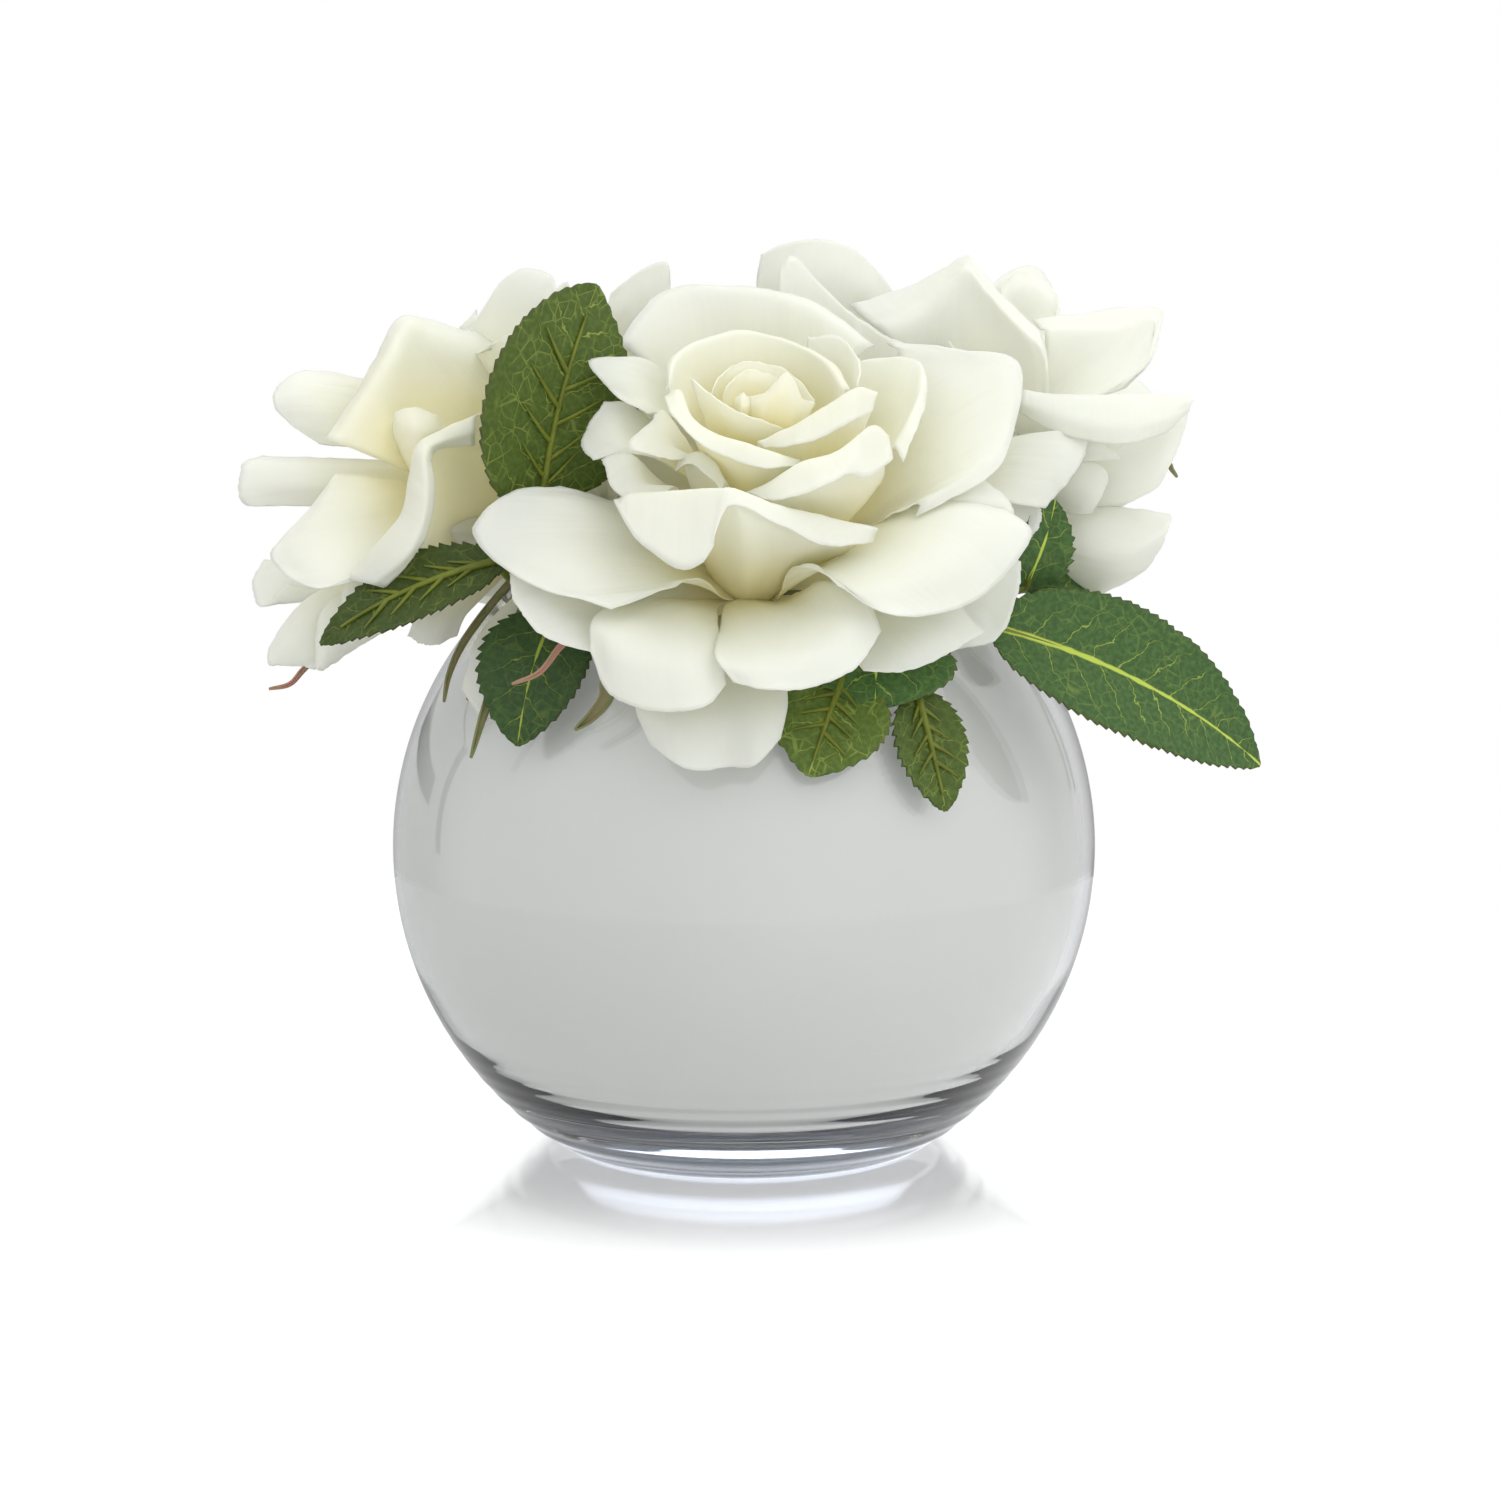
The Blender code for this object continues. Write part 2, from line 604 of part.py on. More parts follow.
def paint(body, colour):
    material = bpy.data.materials.new(body.name)
    material.use_nodes = True
    shader = material.node_tree.nodes["Principled BSDF"]
    shader.inputs["Base Color"].default_value = (*colour, 1.0)
    shader.inputs["Roughness"].default_value = 0.5
    if body.name == "glass_bowl":
        shader.inputs["Roughness"].default_value = 0.02
        shader.inputs["Transmission Weight"].default_value = 1.0
    body.data.materials.clear()
    body.data.materials.append(material)
    body.data.shade_smooth()
    body.data.set_sharp_from_angle(angle=math.radians(50))


WHITE = (0.83, 0.82, 0.72)
GREEN = (0.10, 0.17, 0.06)
GLASS = (0.95, 0.97, 0.98)
FOAM = (0.05, 0.16, 0.07)


def cavity_radius(height):
    return math.sqrt(max(CAVITY_RADIUS**2 - (height - CAVITY_HEIGHT) ** 2, 0.0))


def make_bowl():
    outer = [(0, 0), (38.4, 0), (39.8, 0.5), (41.6, 1.8)]
    for height in (5, 16, 30, 47, 64, 81, 96, 108, 117):
        outer.append((math.sqrt(BALL_RADIUS**2 - (height - BALL_HEIGHT) ** 2), height))
    lip = [(52.5, 118.4), (51.3, 118.9), (50.4, 118.2)]
    inner = [(cavity_radius(h), h) for h in (116.5, 106, 92, 75, 58, 41, 28, 20)]
    floor = [(46.0, 14.6), (38.0, 11.6), (22.0, 9.9), (0, 9.5)]
    body = turned("glass_bowl", outer + lip + inner + floor, BOWL_SIDES)
    paint(body, GLASS)


def make_foam(lines):
    profile = [(0, 9.5 + GAP), (21, 10.0 + GAP), (37, 11.8 + GAP), (44.6, 14.6 + GAP)]
    for height in (20, 38, 60, 80):
        profile.append((cavity_radius(height) - FOAM_ROOM, height))
    profile += [(56.0, 87.0), (36.0, 90.5), (0, 91.5)]
    foam = turned("foam_block", profile, FOAM_SIDES)
    for number, (path, radius) in enumerate(lines):
        path = np.array(path[:2], float)
        step = path[1] - path[0]
        step /= np.linalg.norm(step)
        hole = [path[0] - step * GAP, path[1] + step * HOLE_OVERRUN]
        cutter = tube(f"hole_{number}", hole, [radius + HOLE_ROOM] * 2, HOLE_SIDES)
        cut = foam.modifiers.new(f"hole_{number}", "BOOLEAN")
        cut.operation = "DIFFERENCE"
        cut.object = cutter
        cut.solver = "MANIFOLD"
        finish(foam)
        bpy.data.objects.remove(cutter)
    foam.name = foam.data.name = "foam_block"
    paint(foam, FOAM)


def make_rose(bloom):
    base, axis = BLOOM_PLACES[bloom]
    frame = bloom_frame(axis)
    axis = frame[2]
    core = turned("core", bud_profile(*BUDS[bloom][1:]), BUD_SIDES, base, axis)
    bodies = [core] + [thick_sheet("petal", grid, PETAL_THICKNESS) for grid in petal_grids(bloom)]
    fuse(f"{bloom}_rose", bodies, WHITE, ROSE_KEPT)
    start = np.array(base) - axis * 9
    path = [*STEMS[bloom], tuple(start), tuple(start + axis * 3)]
    line = np.vstack([path[0], eased(path[1:], 2)[:-2], path[-1]])
    stem = tube("stem", line, [STEM_RADIUS] * len(line), STEM_SIDES)
    parts = [stem, turned("calyx", CALYX, CALYX_SIDES, base, axis)]
    reach, height = SEPAL_ROOT
    for turn, length in SEPALS[bloom]:
        out = np.array([math.cos(math.radians(turn)), math.sin(math.radians(turn)), 0.0])
        root = out * reach + np.array([0, 0, height])
        tip = out * (reach + length * SEPAL_REACH) + np.array([0, 0, height - length * SEPAL_DROP])
        root, tip = [end @ frame + np.array(base) for end in (root, tip)]
        shape = leaf(root, tip, axis, SEPAL_WIDTH, arch=1.5, fold=10, teeth=False, widest=0.3, off_ball=1.6)
        parts.append(thick_sheet("sepal", leaf_points(shape, *SEPAL_CUT), PETAL_THICKNESS))
    fuse(f"{bloom}_stem", parts, GREEN, STEM_KEPT)
    return (path, STEM_RADIUS)


def make_spray(name, spray):
    line = eased(spray["twig"][1:], 2)
    line = np.vstack([spray["twig"][0], line])
    girth = np.linspace(TWIG_RADIUS + TWIG_TAPER, TWIG_RADIUS - TWIG_TAPER, len(line))
    parts = [tube("twig", line, girth, TWIG_SIDES)]
    for shape in spray["leaves"]:
        parts.append(thick_sheet("blade", leaf_points(shape, *LEAF_CUT), LEAF_THICKNESS))
        rib = leaf_points(shape, *LEAF_CUT)[1, :2] + JOINT_SHIFT
        joint = min(line[2:], key=lambda q: np.linalg.norm(q - rib[0]))
        if np.linalg.norm(joint - rib[0]) > 1.0:
            parts.append(tube("petiole", [joint, rib[0], 0.4 * rib[0] + 0.6 * rib[1]], PETIOLE_RADII, TWIG_SIDES))
    fuse(name, parts, GREEN)
    return (spray["twig"], TWIG_RADIUS + TWIG_TAPER)


def main():
    for body in list(bpy.data.objects):
        bpy.data.objects.remove(body)
    make_bowl()
    lines = [make_rose(bloom) for bloom in BLOOM_PLACES]
    for name, spray in SPRAYS.items():
        lines.append(make_spray(name, spray))
    make_foam(lines)


if __name__ == "__main__":
    main()
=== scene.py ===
import math

import bmesh
import bpy
import numpy as np
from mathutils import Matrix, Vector


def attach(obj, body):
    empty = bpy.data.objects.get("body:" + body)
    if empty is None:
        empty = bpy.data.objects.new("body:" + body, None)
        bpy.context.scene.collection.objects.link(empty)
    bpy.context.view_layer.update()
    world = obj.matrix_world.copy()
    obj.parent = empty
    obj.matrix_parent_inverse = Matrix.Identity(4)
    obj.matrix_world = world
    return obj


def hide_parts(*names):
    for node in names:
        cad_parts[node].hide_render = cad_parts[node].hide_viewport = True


# A glass bowl of white roses, dressed for its portrait. Sizes are in millimetres,
# in the part's own frame: +Z up, the bowl's foot on the origin.
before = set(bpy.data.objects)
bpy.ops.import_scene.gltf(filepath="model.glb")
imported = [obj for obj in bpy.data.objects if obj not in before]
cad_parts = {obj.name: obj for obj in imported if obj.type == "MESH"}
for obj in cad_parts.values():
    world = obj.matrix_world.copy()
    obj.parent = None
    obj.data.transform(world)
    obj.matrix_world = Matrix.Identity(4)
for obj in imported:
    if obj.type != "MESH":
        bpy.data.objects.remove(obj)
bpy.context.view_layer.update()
mm = 0.001
weld = 0.002  # points closer than this are one


# Small tools
def smooth(t):
    # rises from 0 to 1 with no corner at either end
    t = np.clip(t, 0.0, 1.0)
    return t * t * (3.0 - 2.0 * t)


def linear(code):
    # "#rrggbb" as the linear colour that a shader wants
    parts = [int(code[i : i + 2], 16) / 255 for i in (1, 3, 5)]
    return (*[c / 12.92 if c <= 0.04045 else ((c + 0.055) / 1.055) ** 2.4 for c in parts], 1.0)


def feed(tree, value, socket):
    # gives a socket a number, a "#rrggbb" colour, another socket, or a node's first output in use
    if isinstance(value, bpy.types.Node):
        value = next(output for output in value.outputs if output.enabled)
    if isinstance(value, bpy.types.NodeSocket):
        tree.links.new(value, socket)
    elif isinstance(value, str) and value.startswith("#"):
        socket.default_value = linear(value)
    else:
        socket.default_value = value


def addNode(tree, kind, *inputs, **settings):
    # a node with its settings and links; a shader node goes by its short name, and the inputs
    # come in the order in which the node shows them, or by name in one dictionary
    node = tree.nodes.new(kind if "Node" in kind else "ShaderNode" + kind)
    for name, value in settings.items():
        setattr(node, name, value)
    sockets = [socket for socket in node.inputs if socket.enabled]
    if inputs and isinstance(inputs[0], dict):
        sockets = [node.inputs[key] for key in inputs[0]]
        inputs = inputs[0].values()
    for socket, value in zip(sockets, inputs):
        feed(tree, value, socket)
    return node


def addGrain(tree, place, size, apart, detail=3.0):
    # noise in spots so wide and long; apart keeps one sheet's pattern off the next one's
    scale = (1 / size[0], 1 / size[1], apart)
    scaled = addNode(tree, "VectorMath", place, scale, operation="MULTIPLY")
    return addNode(tree, "TexNoise", {"Vector": scaled, "Scale": 1.0, "Detail": detail})


def newTree(name, inputs):
    # a Geometry Nodes tree with named inputs; the Finish input takes the material
    tree = bpy.data.node_groups.new(name, "GeometryNodeTree")
    side = tree.interface
    side.new_socket("Geometry", in_out="INPUT", socket_type="NodeSocketGeometry")
    side.new_socket("Geometry", in_out="OUTPUT", socket_type="NodeSocketGeometry")
    for label, kind, value in inputs:
        socket = side.new_socket(label, in_out="INPUT", socket_type="NodeSocket" + kind)
        socket.default_value = value
    side.new_socket("Finish", in_out="INPUT", socket_type="NodeSocketMaterial")
    return tree, tree.nodes.new("NodeGroupInput"), tree.nodes.new("NodeGroupOutput")


def endTree(tree, start, end, geometry):
    # every tree ends in plain geometry, smooth and painted
    solid = addNode(tree, "GeometryNodeRealizeInstances", geometry)
    shaded = addNode(tree, "GeometryNodeSetShadeSmooth", solid)
    painted = addNode(tree, "GeometryNodeSetMaterial", {0: shaded, 2: start.outputs["Finish"]})
    feed(tree, painted, end.inputs[0])
    return tree


def settle(body):
    # turns what the modifiers make into plain mesh
    seen = body.evaluated_get(bpy.context.evaluated_depsgraph_get())
    mesh = bpy.data.meshes.new_from_object(seen)
    body.modifiers.clear()
    body.data = mesh
    body.data.name = body.name
    return body


def runTree(body, tree, **values):
    modifier = body.modifiers.new(tree.name, "NODES")
    modifier.node_group = tree
    for item in tree.interface.items_tree:
        if item.item_type == "SOCKET" and item.in_out == "INPUT" and item.name in values:
            modifier[item.identifier] = values[item.name]
    return settle(body)


def newBody(name, points, edges=(), faces=()):
    mesh = bpy.data.meshes.new(name)
    places = [tuple(point) for point in np.asarray(points, float) * mm]
    mesh.from_pydata(places, list(edges), list(faces))
    body = bpy.data.objects.new(name, mesh)
    bpy.context.scene.collection.objects.link(body)
    return body


def joinBodies(name, bodies):
    with bpy.context.temp_override(
        active_object=bodies[0], object=bodies[0], selected_objects=bodies, selected_editable_objects=bodies
    ):
        bpy.ops.object.join()
    bodies[0].name = bodies[0].data.name = name
    return bodies[0]


def faceOutwards(body):
    shape = bmesh.new()
    shape.from_mesh(body.data)
    bmesh.ops.remove_doubles(shape, verts=shape.verts, dist=weld * mm)
    bmesh.ops.recalc_face_normals(shape, faces=shape.faces)
    shape.to_mesh(body.data)
    shape.free()


def handIn(piece, slot, *nodes):
    # the piece rides on the vase and stands for these nodes of the frame
    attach(piece, "root")
    if nodes:
        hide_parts(*nodes)
    print("made", piece.name, len(piece.data.polygons), "faces")


def eased(points, count):
    # a smooth line through control points, each span cut into equal steps
    points = np.array(points, float)
    padded = np.vstack([2 * points[0] - points[1], points, 2 * points[-1] - points[-2]])
    line = []
    for i in range(len(points) - 1):
        a, b, c, d = padded[i : i + 4]
        for t in np.linspace(0.0, 1.0, count, endpoint=False):
            bend = (2 * a - 5 * b + 4 * c - d) * t**2 + (3 * b - a - 3 * c + d) * t**3
            line.append(0.5 * (2 * b + (c - a) * t + bend))
    return np.array(line + [points[-1]])


# Geometry Nodes trees


def makeBarTree():
    # round bars along lines of points, each as thick as its "girth" says: stems, twigs, ribs
    tree, start, end = newTree("bars", [("Sides", "Int", 8)])
    girth = addNode(tree, "GeometryNodeInputNamedAttribute", {"Name": "girth"}, data_type="FLOAT")
    line = addNode(tree, "GeometryNodeMeshToCurve", start.outputs["Geometry"])
    ring = addNode(tree, "GeometryNodeCurvePrimitiveCircle", {0: start.outputs["Sides"], "Radius": 1.0})
    bar = addNode(tree, "GeometryNodeCurveToMesh", {0: line, 1: ring, "Scale": girth, "Fill Caps": True})
    return endTree(tree, start, end, bar)


def makeTurnTree():
    # turns a profile round the Z axis: each row of a grid takes one point of the profile
    tree, start, end = newTree("turned", [("Sides", "Int", 64)])
    profile, sides = start.outputs["Geometry"], start.outputs["Sides"]
    size = addNode(tree, "GeometryNodeAttributeDomainSize", profile, component="MESH")
    count = size.outputs["Point Count"]
    columns = addNode(tree, "Math", sides, 1.0, operation="ADD")
    grid = addNode(tree, "GeometryNodeMeshGrid", {2: columns, 3: count})
    index = addNode(tree, "GeometryNodeInputIndex")
    share = addNode(tree, "Math", index, count, operation="DIVIDE")
    column = addNode(tree, "Math", share, operation="FLOOR")
    passed = addNode(tree, "Math", column, count, operation="MULTIPLY")
    row = addNode(tree, "Math", index, passed, operation="SUBTRACT")
    place = addNode(tree, "GeometryNodeInputPosition")
    wanted = {0: profile, "Value": place, "Index": row}
    point = addNode(tree, "GeometryNodeSampleIndex", wanted, data_type="FLOAT_VECTOR")
    step = addNode(tree, "Math", 2 * math.pi, sides, operation="DIVIDE")
    angle = addNode(tree, "Math", column, step, operation="MULTIPLY")
    turned = addNode(tree, "VectorRotate", {"Vector": point, "Angle": angle}, rotation_type="Z_AXIS")
    moved = addNode(tree, "GeometryNodeSetPosition", {0: grid, "Position": turned})
    closed = addNode(tree, "GeometryNodeMergeByDistance", {0: moved, "Distance": weld * mm})
    return endTree(tree, start, end, closed)


def makeRingTree():
    # one leaflet on each point, turned and stretched as the point's own "spin" and "size" say
    tree, start, end = newTree("ring", [("Leaflet", "Object", None)])
    spin = addNode(tree, "GeometryNodeInputNamedAttribute", {"Name": "spin"}, data_type="FLOAT_VECTOR")
    size = addNode(tree, "GeometryNodeInputNamedAttribute", {"Name": "size"}, data_type="FLOAT_VECTOR")
    turn = addNode(tree, "FunctionNodeEulerToRotation", spin)
    leaflet = addNode(tree, "GeometryNodeObjectInfo", start.outputs["Leaflet"]).outputs["Geometry"]
    wanted = {0: start.outputs["Geometry"], "Instance": leaflet, "Rotation": turn, "Scale": size}
    placed = addNode(tree, "GeometryNodeInstanceOnPoints", wanted)
    return endTree(tree, start, end, placed)


def makePressTree():
    # cloth pressed in a hot mould: broad swells, fine lengthwise creases, and a rim that flutters
    labels = ("Swell", "Crease", "Flutter", "Seed")
    tree, start, end = newTree("pressed", [(label, "Float", 0.0) for label in labels])
    cloth = addNode(tree, "GeometryNodeInputNamedAttribute", {"Name": "cloth"}, data_type="FLOAT_VECTOR")
    rim = addNode(tree, "GeometryNodeInputNamedAttribute", {"Name": "rim"}, data_type="FLOAT")
    free = addNode(tree, "GeometryNodeInputNamedAttribute", {"Name": "free"}, data_type="FLOAT")
    total = 0.0
    # how wide and long each kind of wave is, in millimetres, and the part of the cloth that has it
    waves = (("Swell", 16, 20, free), ("Crease", 2.4, 22, free), ("Flutter", 7, 7, rim))
    for label, wide, long, part in waves:
        scaled = addNode(tree, "VectorMath", cloth, (1 / wide, 1 / long, 7.3), operation="MULTIPLY")
        wanted = {"Vector": scaled, "W": start.outputs["Seed"], "Scale": 1.0, "Detail": 2.0}
        noise = addNode(tree, "TexNoise", wanted, noise_dimensions="4D")
        wave = addNode(tree, "Math", noise, 0.5, operation="SUBTRACT")
        wave = addNode(tree, "Math", wave, start.outputs[label], operation="MULTIPLY")
        wave = addNode(tree, "Math", wave, part, operation="MULTIPLY")
        total = addNode(tree, "Math", wave, total, operation="ADD")
    normal = addNode(tree, "GeometryNodeInputNormal")
    push = addNode(tree, "VectorMath", normal, total, operation="SCALE")
    moved = addNode(tree, "GeometryNodeSetPosition", {0: start.outputs["Geometry"], "Offset": push})
    return endTree(tree, start, end, moved)


barTree = makeBarTree()
turnTree = makeTurnTree()
ringTree = makeRingTree()
pressTree = makePressTree()
print("trees ready")


def makeBars(name, lines, finish, sides=8):
    points, edges, girth = [], [], []
    for path, radii in lines:
        first = len(points)
        points += list(path)
        girth += list(np.broadcast_to(radii, len(path)))
        edges += [(first + k, first + k + 1) for k in range(len(path) - 1)]
    body = newBody(name, points, edges)
    body.data.attributes.new("girth", "FLOAT", "POINT").data.foreach_set("value", np.array(girth, float) * mm)
    return runTree(body, barTree, Sides=sides, Finish=finish)


def makeTurned(name, profile, sides, finish, base=(0, 0, 0), axis=(0, 0, 1)):
    body = newBody(name, [(r, 0, h) for r, h in profile])
    runTree(body, turnTree, Sides=sides, Finish=finish)
    moveTo(body, base, axis)
    faceOutwards(body)
    return body


def axisFrame(axis):
    # rows: the right, back and forward directions of whatever points along this axis
    axis = np.array(axis, float) / np.linalg.norm(axis)
    right = np.array([1.0, 0.0, 0.0]) - axis[0] * axis
    right /= np.linalg.norm(right)
    return np.array([right, np.cross(axis, right), axis])


def pointsOf(body):
    points = np.zeros(len(body.data.vertices) * 3)
    body.data.vertices.foreach_get("co", points)
    return points.reshape(-1, 3) / mm


def movePoints(body, points):
    body.data.vertices.foreach_set("co", (points * mm).ravel())
    body.data.update()


def moveTo(body, base, axis):
    movePoints(body, pointsOf(body) @ axisFrame(axis) + np.array(base, float))


# Materials


def newFinish(name, inputs):
    material = bpy.data.materials.new(name)
    material.use_nodes = True
    tree = material.node_tree
    shader = tree.nodes["Principled BSDF"]
    for key, value in inputs.items():
        feed(tree, value, shader.inputs[key])
    return material, tree, shader


# Settings of a Map Range that rises softly. Its inputs are the value, where the rise starts and
# ends, and what it gives there: 0 and 1 where they aren't named.
softly = dict(interpolation_type="SMOOTHSTEP")

# Woven polyester dipped in white latex: matt, faintly see-through, yellowing towards the core, where its deep
# colour is partly painted warm shade
petalLook = dict(
    tip="#f7f8f0",
    middle="#f8f8e9",
    # the yellow by the core: partly the cloth's own, partly painted warm shade
    deep="#faf4cb",
    # painted shade: the darker colour painted along the fine creases
    paintedCreaseShade="#c9c7a4",
    rough=0.62,
    blotch=(9, 12),  # blotches, creases, pleats and threads: how wide and long, in millimetres
    crease=(1.6, 26),
    pleat=(4.5, 40),
    thread=(0.35, 0.35),
    relief=0.1,
    through=0.4,  # how much of the light the cloth lets through
)


def makePetalCloth(look):
    material, tree, shader = newFinish(
        "latex_dipped_polyester",
        {
            "Roughness": look["rough"],
            "Subsurface Weight": 0.3,
            "Subsurface Scale": 2.0 * mm,
            "Subsurface Radius": (1.0, 0.9, 0.6),
            "Sheen Weight": 0.08,
            "Specular IOR Level": 0.35,
        },
    )
    cloth = addNode(tree, "Attribute", attribute_name="cloth").outputs["Vector"]
    warmth = addNode(tree, "Attribute", attribute_name="warmth").outputs["Fac"]
    # white at the rim, cream and then yellow by the core, in soft blotches; the yellow deep in the bloom is
    # partly painted warm shade
    blotch = addGrain(tree, cloth, look["blotch"], 3.1)
    blotch = addNode(tree, "Math", blotch, 0.5, operation="SUBTRACT")
    warm = addNode(tree, "Math", blotch, 0.16, warmth, operation="MULTIPLY_ADD")
    pale = addNode(tree, "MapRange", warm, 0.0, 0.55, **softly)
    yellow = addNode(tree, "MapRange", warm, 0.45, 1.0, **softly)
    colour = addNode(tree, "Mix", pale, look["tip"], look["middle"], data_type="RGBA")
    colour = addNode(tree, "Mix", yellow, colour, look["deep"], data_type="RGBA")
    # painted shade: the fine creases are painted a shade darker, as if shadowed
    crease = addGrain(tree, cloth, look["crease"], 5.7, 4.0)
    shade = addNode(tree, "MapRange", crease, 0.62, 0.78, 0.0, 0.05, **softly)
    colour = addNode(tree, "Mix", shade, colour, look["paintedCreaseShade"], data_type="RGBA")
    feed(tree, colour, shader.inputs["Base Color"])
    # threads, creases, and pressed pleats that run from the core to the rim
    thread = addGrain(tree, cloth, look["thread"], 2.0, 2.0)
    relief = addNode(tree, "Math", thread, 0.25, crease, operation="MULTIPLY_ADD")
    pleat = addGrain(tree, cloth, look["pleat"], 1.9, 2.0)
    relief = addNode(tree, "Math", pleat, 2.5, relief, operation="MULTIPLY_ADD")
    bump = addNode(tree, "Bump", {"Strength": 1.0, "Distance": look["relief"] * mm, "Height": relief})
    feed(tree, bump, shader.inputs["Normal"])
    # the cloth is thin: light from behind comes through it
    through = addNode(tree, "BsdfTranslucent", {"Color": colour, "Normal": bump})
    both = addNode(tree, "MixShader", look["through"], shader, through)
    feed(tree, both, tree.nodes["Material Output"].inputs["Surface"])
    return material


# Printed polyester leaf: satin, dark green with pale veins; the underside is greyer
leafLook = dict(
    top=dict(body="#446330", mottle="#345026", vein="#8fa348", midrib="#a9bb4c", ribWidth=0.85, net=0.3),
    under=dict(body="#506329", mottle="#42541f", vein="#8d9c48", midrib="#7d8c3c", ribWidth=0.5, net=0.6),
    edge="#4a4326",
    veinGap=6.5,  # in millimetres, as the sizes below are
    cell=3.0,  # the net's meshes
    wander=(4, 4),  # how coarsely the veins waver
    patch=(7, 7),  # patches without a net
    mottle=(1.1, 1.1),
    relief=0.16,
)


def makeLeafCloth(name, look):
    finish = {"Roughness": 0.55, "Specular IOR Level": 0.25, "Subsurface Weight": 0.05}
    material, tree, shader = newFinish(name, {**finish, "Subsurface Scale": 0.6 * mm})
    # where a point lies on the cloth, and its share of the way across and along the leaf
    place = addNode(tree, "Attribute", attribute_name="cloth").outputs["Vector"]
    share = addNode(tree, "Attribute", attribute_name="share").outputs["Vector"]
    across, along = addNode(tree, "SeparateXYZ", place).outputs[:2]
    side, run, bold = addNode(tree, "SeparateXYZ", share).outputs
    off = addNode(tree, "Math", across, operation="ABSOLUTE")
    away = addNode(tree, "Math", side, operation="ABSOLUTE")
    wander = addGrain(tree, place, leafLook["wander"], 9.1)
    wander = addNode(tree, "Math", wander, 0.5, operation="SUBTRACT")
    # side veins leave the midrib and bend towards the tip, one side's between the other's
    gap = leafLook["veinGap"]
    square = addNode(tree, "Math", away, away, operation="MULTIPLY")
    bend = addNode(tree, "Math", square, -0.35, operation="MULTIPLY")
    slope = addNode(tree, "Math", off, -0.55 / gap, bend, operation="MULTIPLY_ADD")
    phase = addNode(tree, "Math", along, 1 / gap, slope, operation="MULTIPLY_ADD")
    phase = addNode(tree, "Math", wander, 0.75, phase, operation="MULTIPLY_ADD")
    hand = addNode(tree, "Math", across, operation="SIGN")
    phase = addNode(tree, "Math", hand, 0.21, phase, operation="MULTIPLY_ADD")
    phase = addNode(tree, "Math", phase, operation="FRACT")
    near = addNode(tree, "Math", phase, 0.5, operation="SUBTRACT")
    near = addNode(tree, "Math", near, operation="ABSOLUTE")
    near = addNode(tree, "Math", near, gap, operation="MULTIPLY")
    thin = addNode(tree, "Math", away, -0.17, 0.25, operation="MULTIPLY_ADD")
    near = addNode(tree, "Math", near, thin, operation="DIVIDE")
    vein = addNode(tree, "MapRange", near, 0.4, 1.1, 1.0, 0.0, **softly)
    ending = addNode(tree, "MapRange", away, 0.55, 0.95, 1.0, 0.0, **softly)
    vein = addNode(tree, "Math", vein, ending, operation="MULTIPLY")
    # the fine net between them
    scale = (1 / leafLook["cell"], 1 / leafLook["cell"], 4.0)
    cells = addNode(tree, "VectorMath", place, scale, operation="MULTIPLY")
    cells = addNode(tree, "TexVoronoi", {"Vector": cells, "Scale": 1.0}, feature="DISTANCE_TO_EDGE")
    net = addNode(tree, "MapRange", cells, 0.01, 0.07, 1.0, 0.0, **softly)
    patch = addGrain(tree, place, leafLook["patch"], 3.3, 2.0)
    patch = addNode(tree, "MapRange", patch, 0.35, 0.65, 0.0, look["net"], **softly)
    net = addNode(tree, "Math", net, patch, operation="MULTIPLY")
    lines = addNode(tree, "Math", vein, net, operation="MAXIMUM", use_clamp=True)
    # the midrib narrows towards the tip
    width = look["ribWidth"]
    width = addNode(tree, "Math", run, -0.8 * width, width, operation="MULTIPLY_ADD")
    width = addNode(tree, "Math", width, bold, operation="MULTIPLY")
    ragged = addNode(tree, "Math", wander, 0.9, off, operation="MULTIPLY_ADD")
    ragged = addNode(tree, "Math", ragged, width, operation="DIVIDE")
    midrib = addNode(tree, "MapRange", ragged, 0.6, 1.25, 1.0, 0.0, **softly)
    # the print, and the painted light or shade that makes this leaf lighter or darker
    mottle = addGrain(tree, place, leafLook["mottle"], 2.2, 5.0)
    spots = addNode(tree, "MapRange", mottle, 0.35, 0.7, **softly)
    body = addNode(tree, "Mix", spots, look["mottle"], look["body"], data_type="RGBA")
    faint = addNode(tree, "Math", lines, 0.75, operation="MULTIPLY")
    body = addNode(tree, "Mix", faint, body, look["vein"], data_type="RGBA")
    body = addNode(tree, "Mix", midrib, body, look["midrib"], data_type="RGBA")
    edge = addNode(tree, "MapRange", away, 0.93, 1.0, 0.0, 0.4, **softly)
    body = addNode(tree, "Mix", edge, body, leafLook["edge"], data_type="RGBA")
    # painted light and shade: each leaf's colour is scaled lighter or darker
    tone = addNode(tree, "Attribute", attribute_name="tone").outputs["Fac"]
    body = addNode(tree, "VectorMath", body, tone, operation="SCALE")
    feed(tree, body, shader.inputs["Base Color"])
    # the veins are pressed in
    relief = addNode(tree, "Math", lines, midrib, operation="MAXIMUM")
    relief = addNode(tree, "Math", relief, -1.0, operation="MULTIPLY")
    relief = addNode(tree, "Math", mottle, 0.35, relief, operation="MULTIPLY_ADD")
    bump = addNode(tree, "Bump", {"Strength": 1.0, "Distance": leafLook["relief"] * mm, "Height": relief})
    feed(tree, bump, shader.inputs["Normal"])
    return material


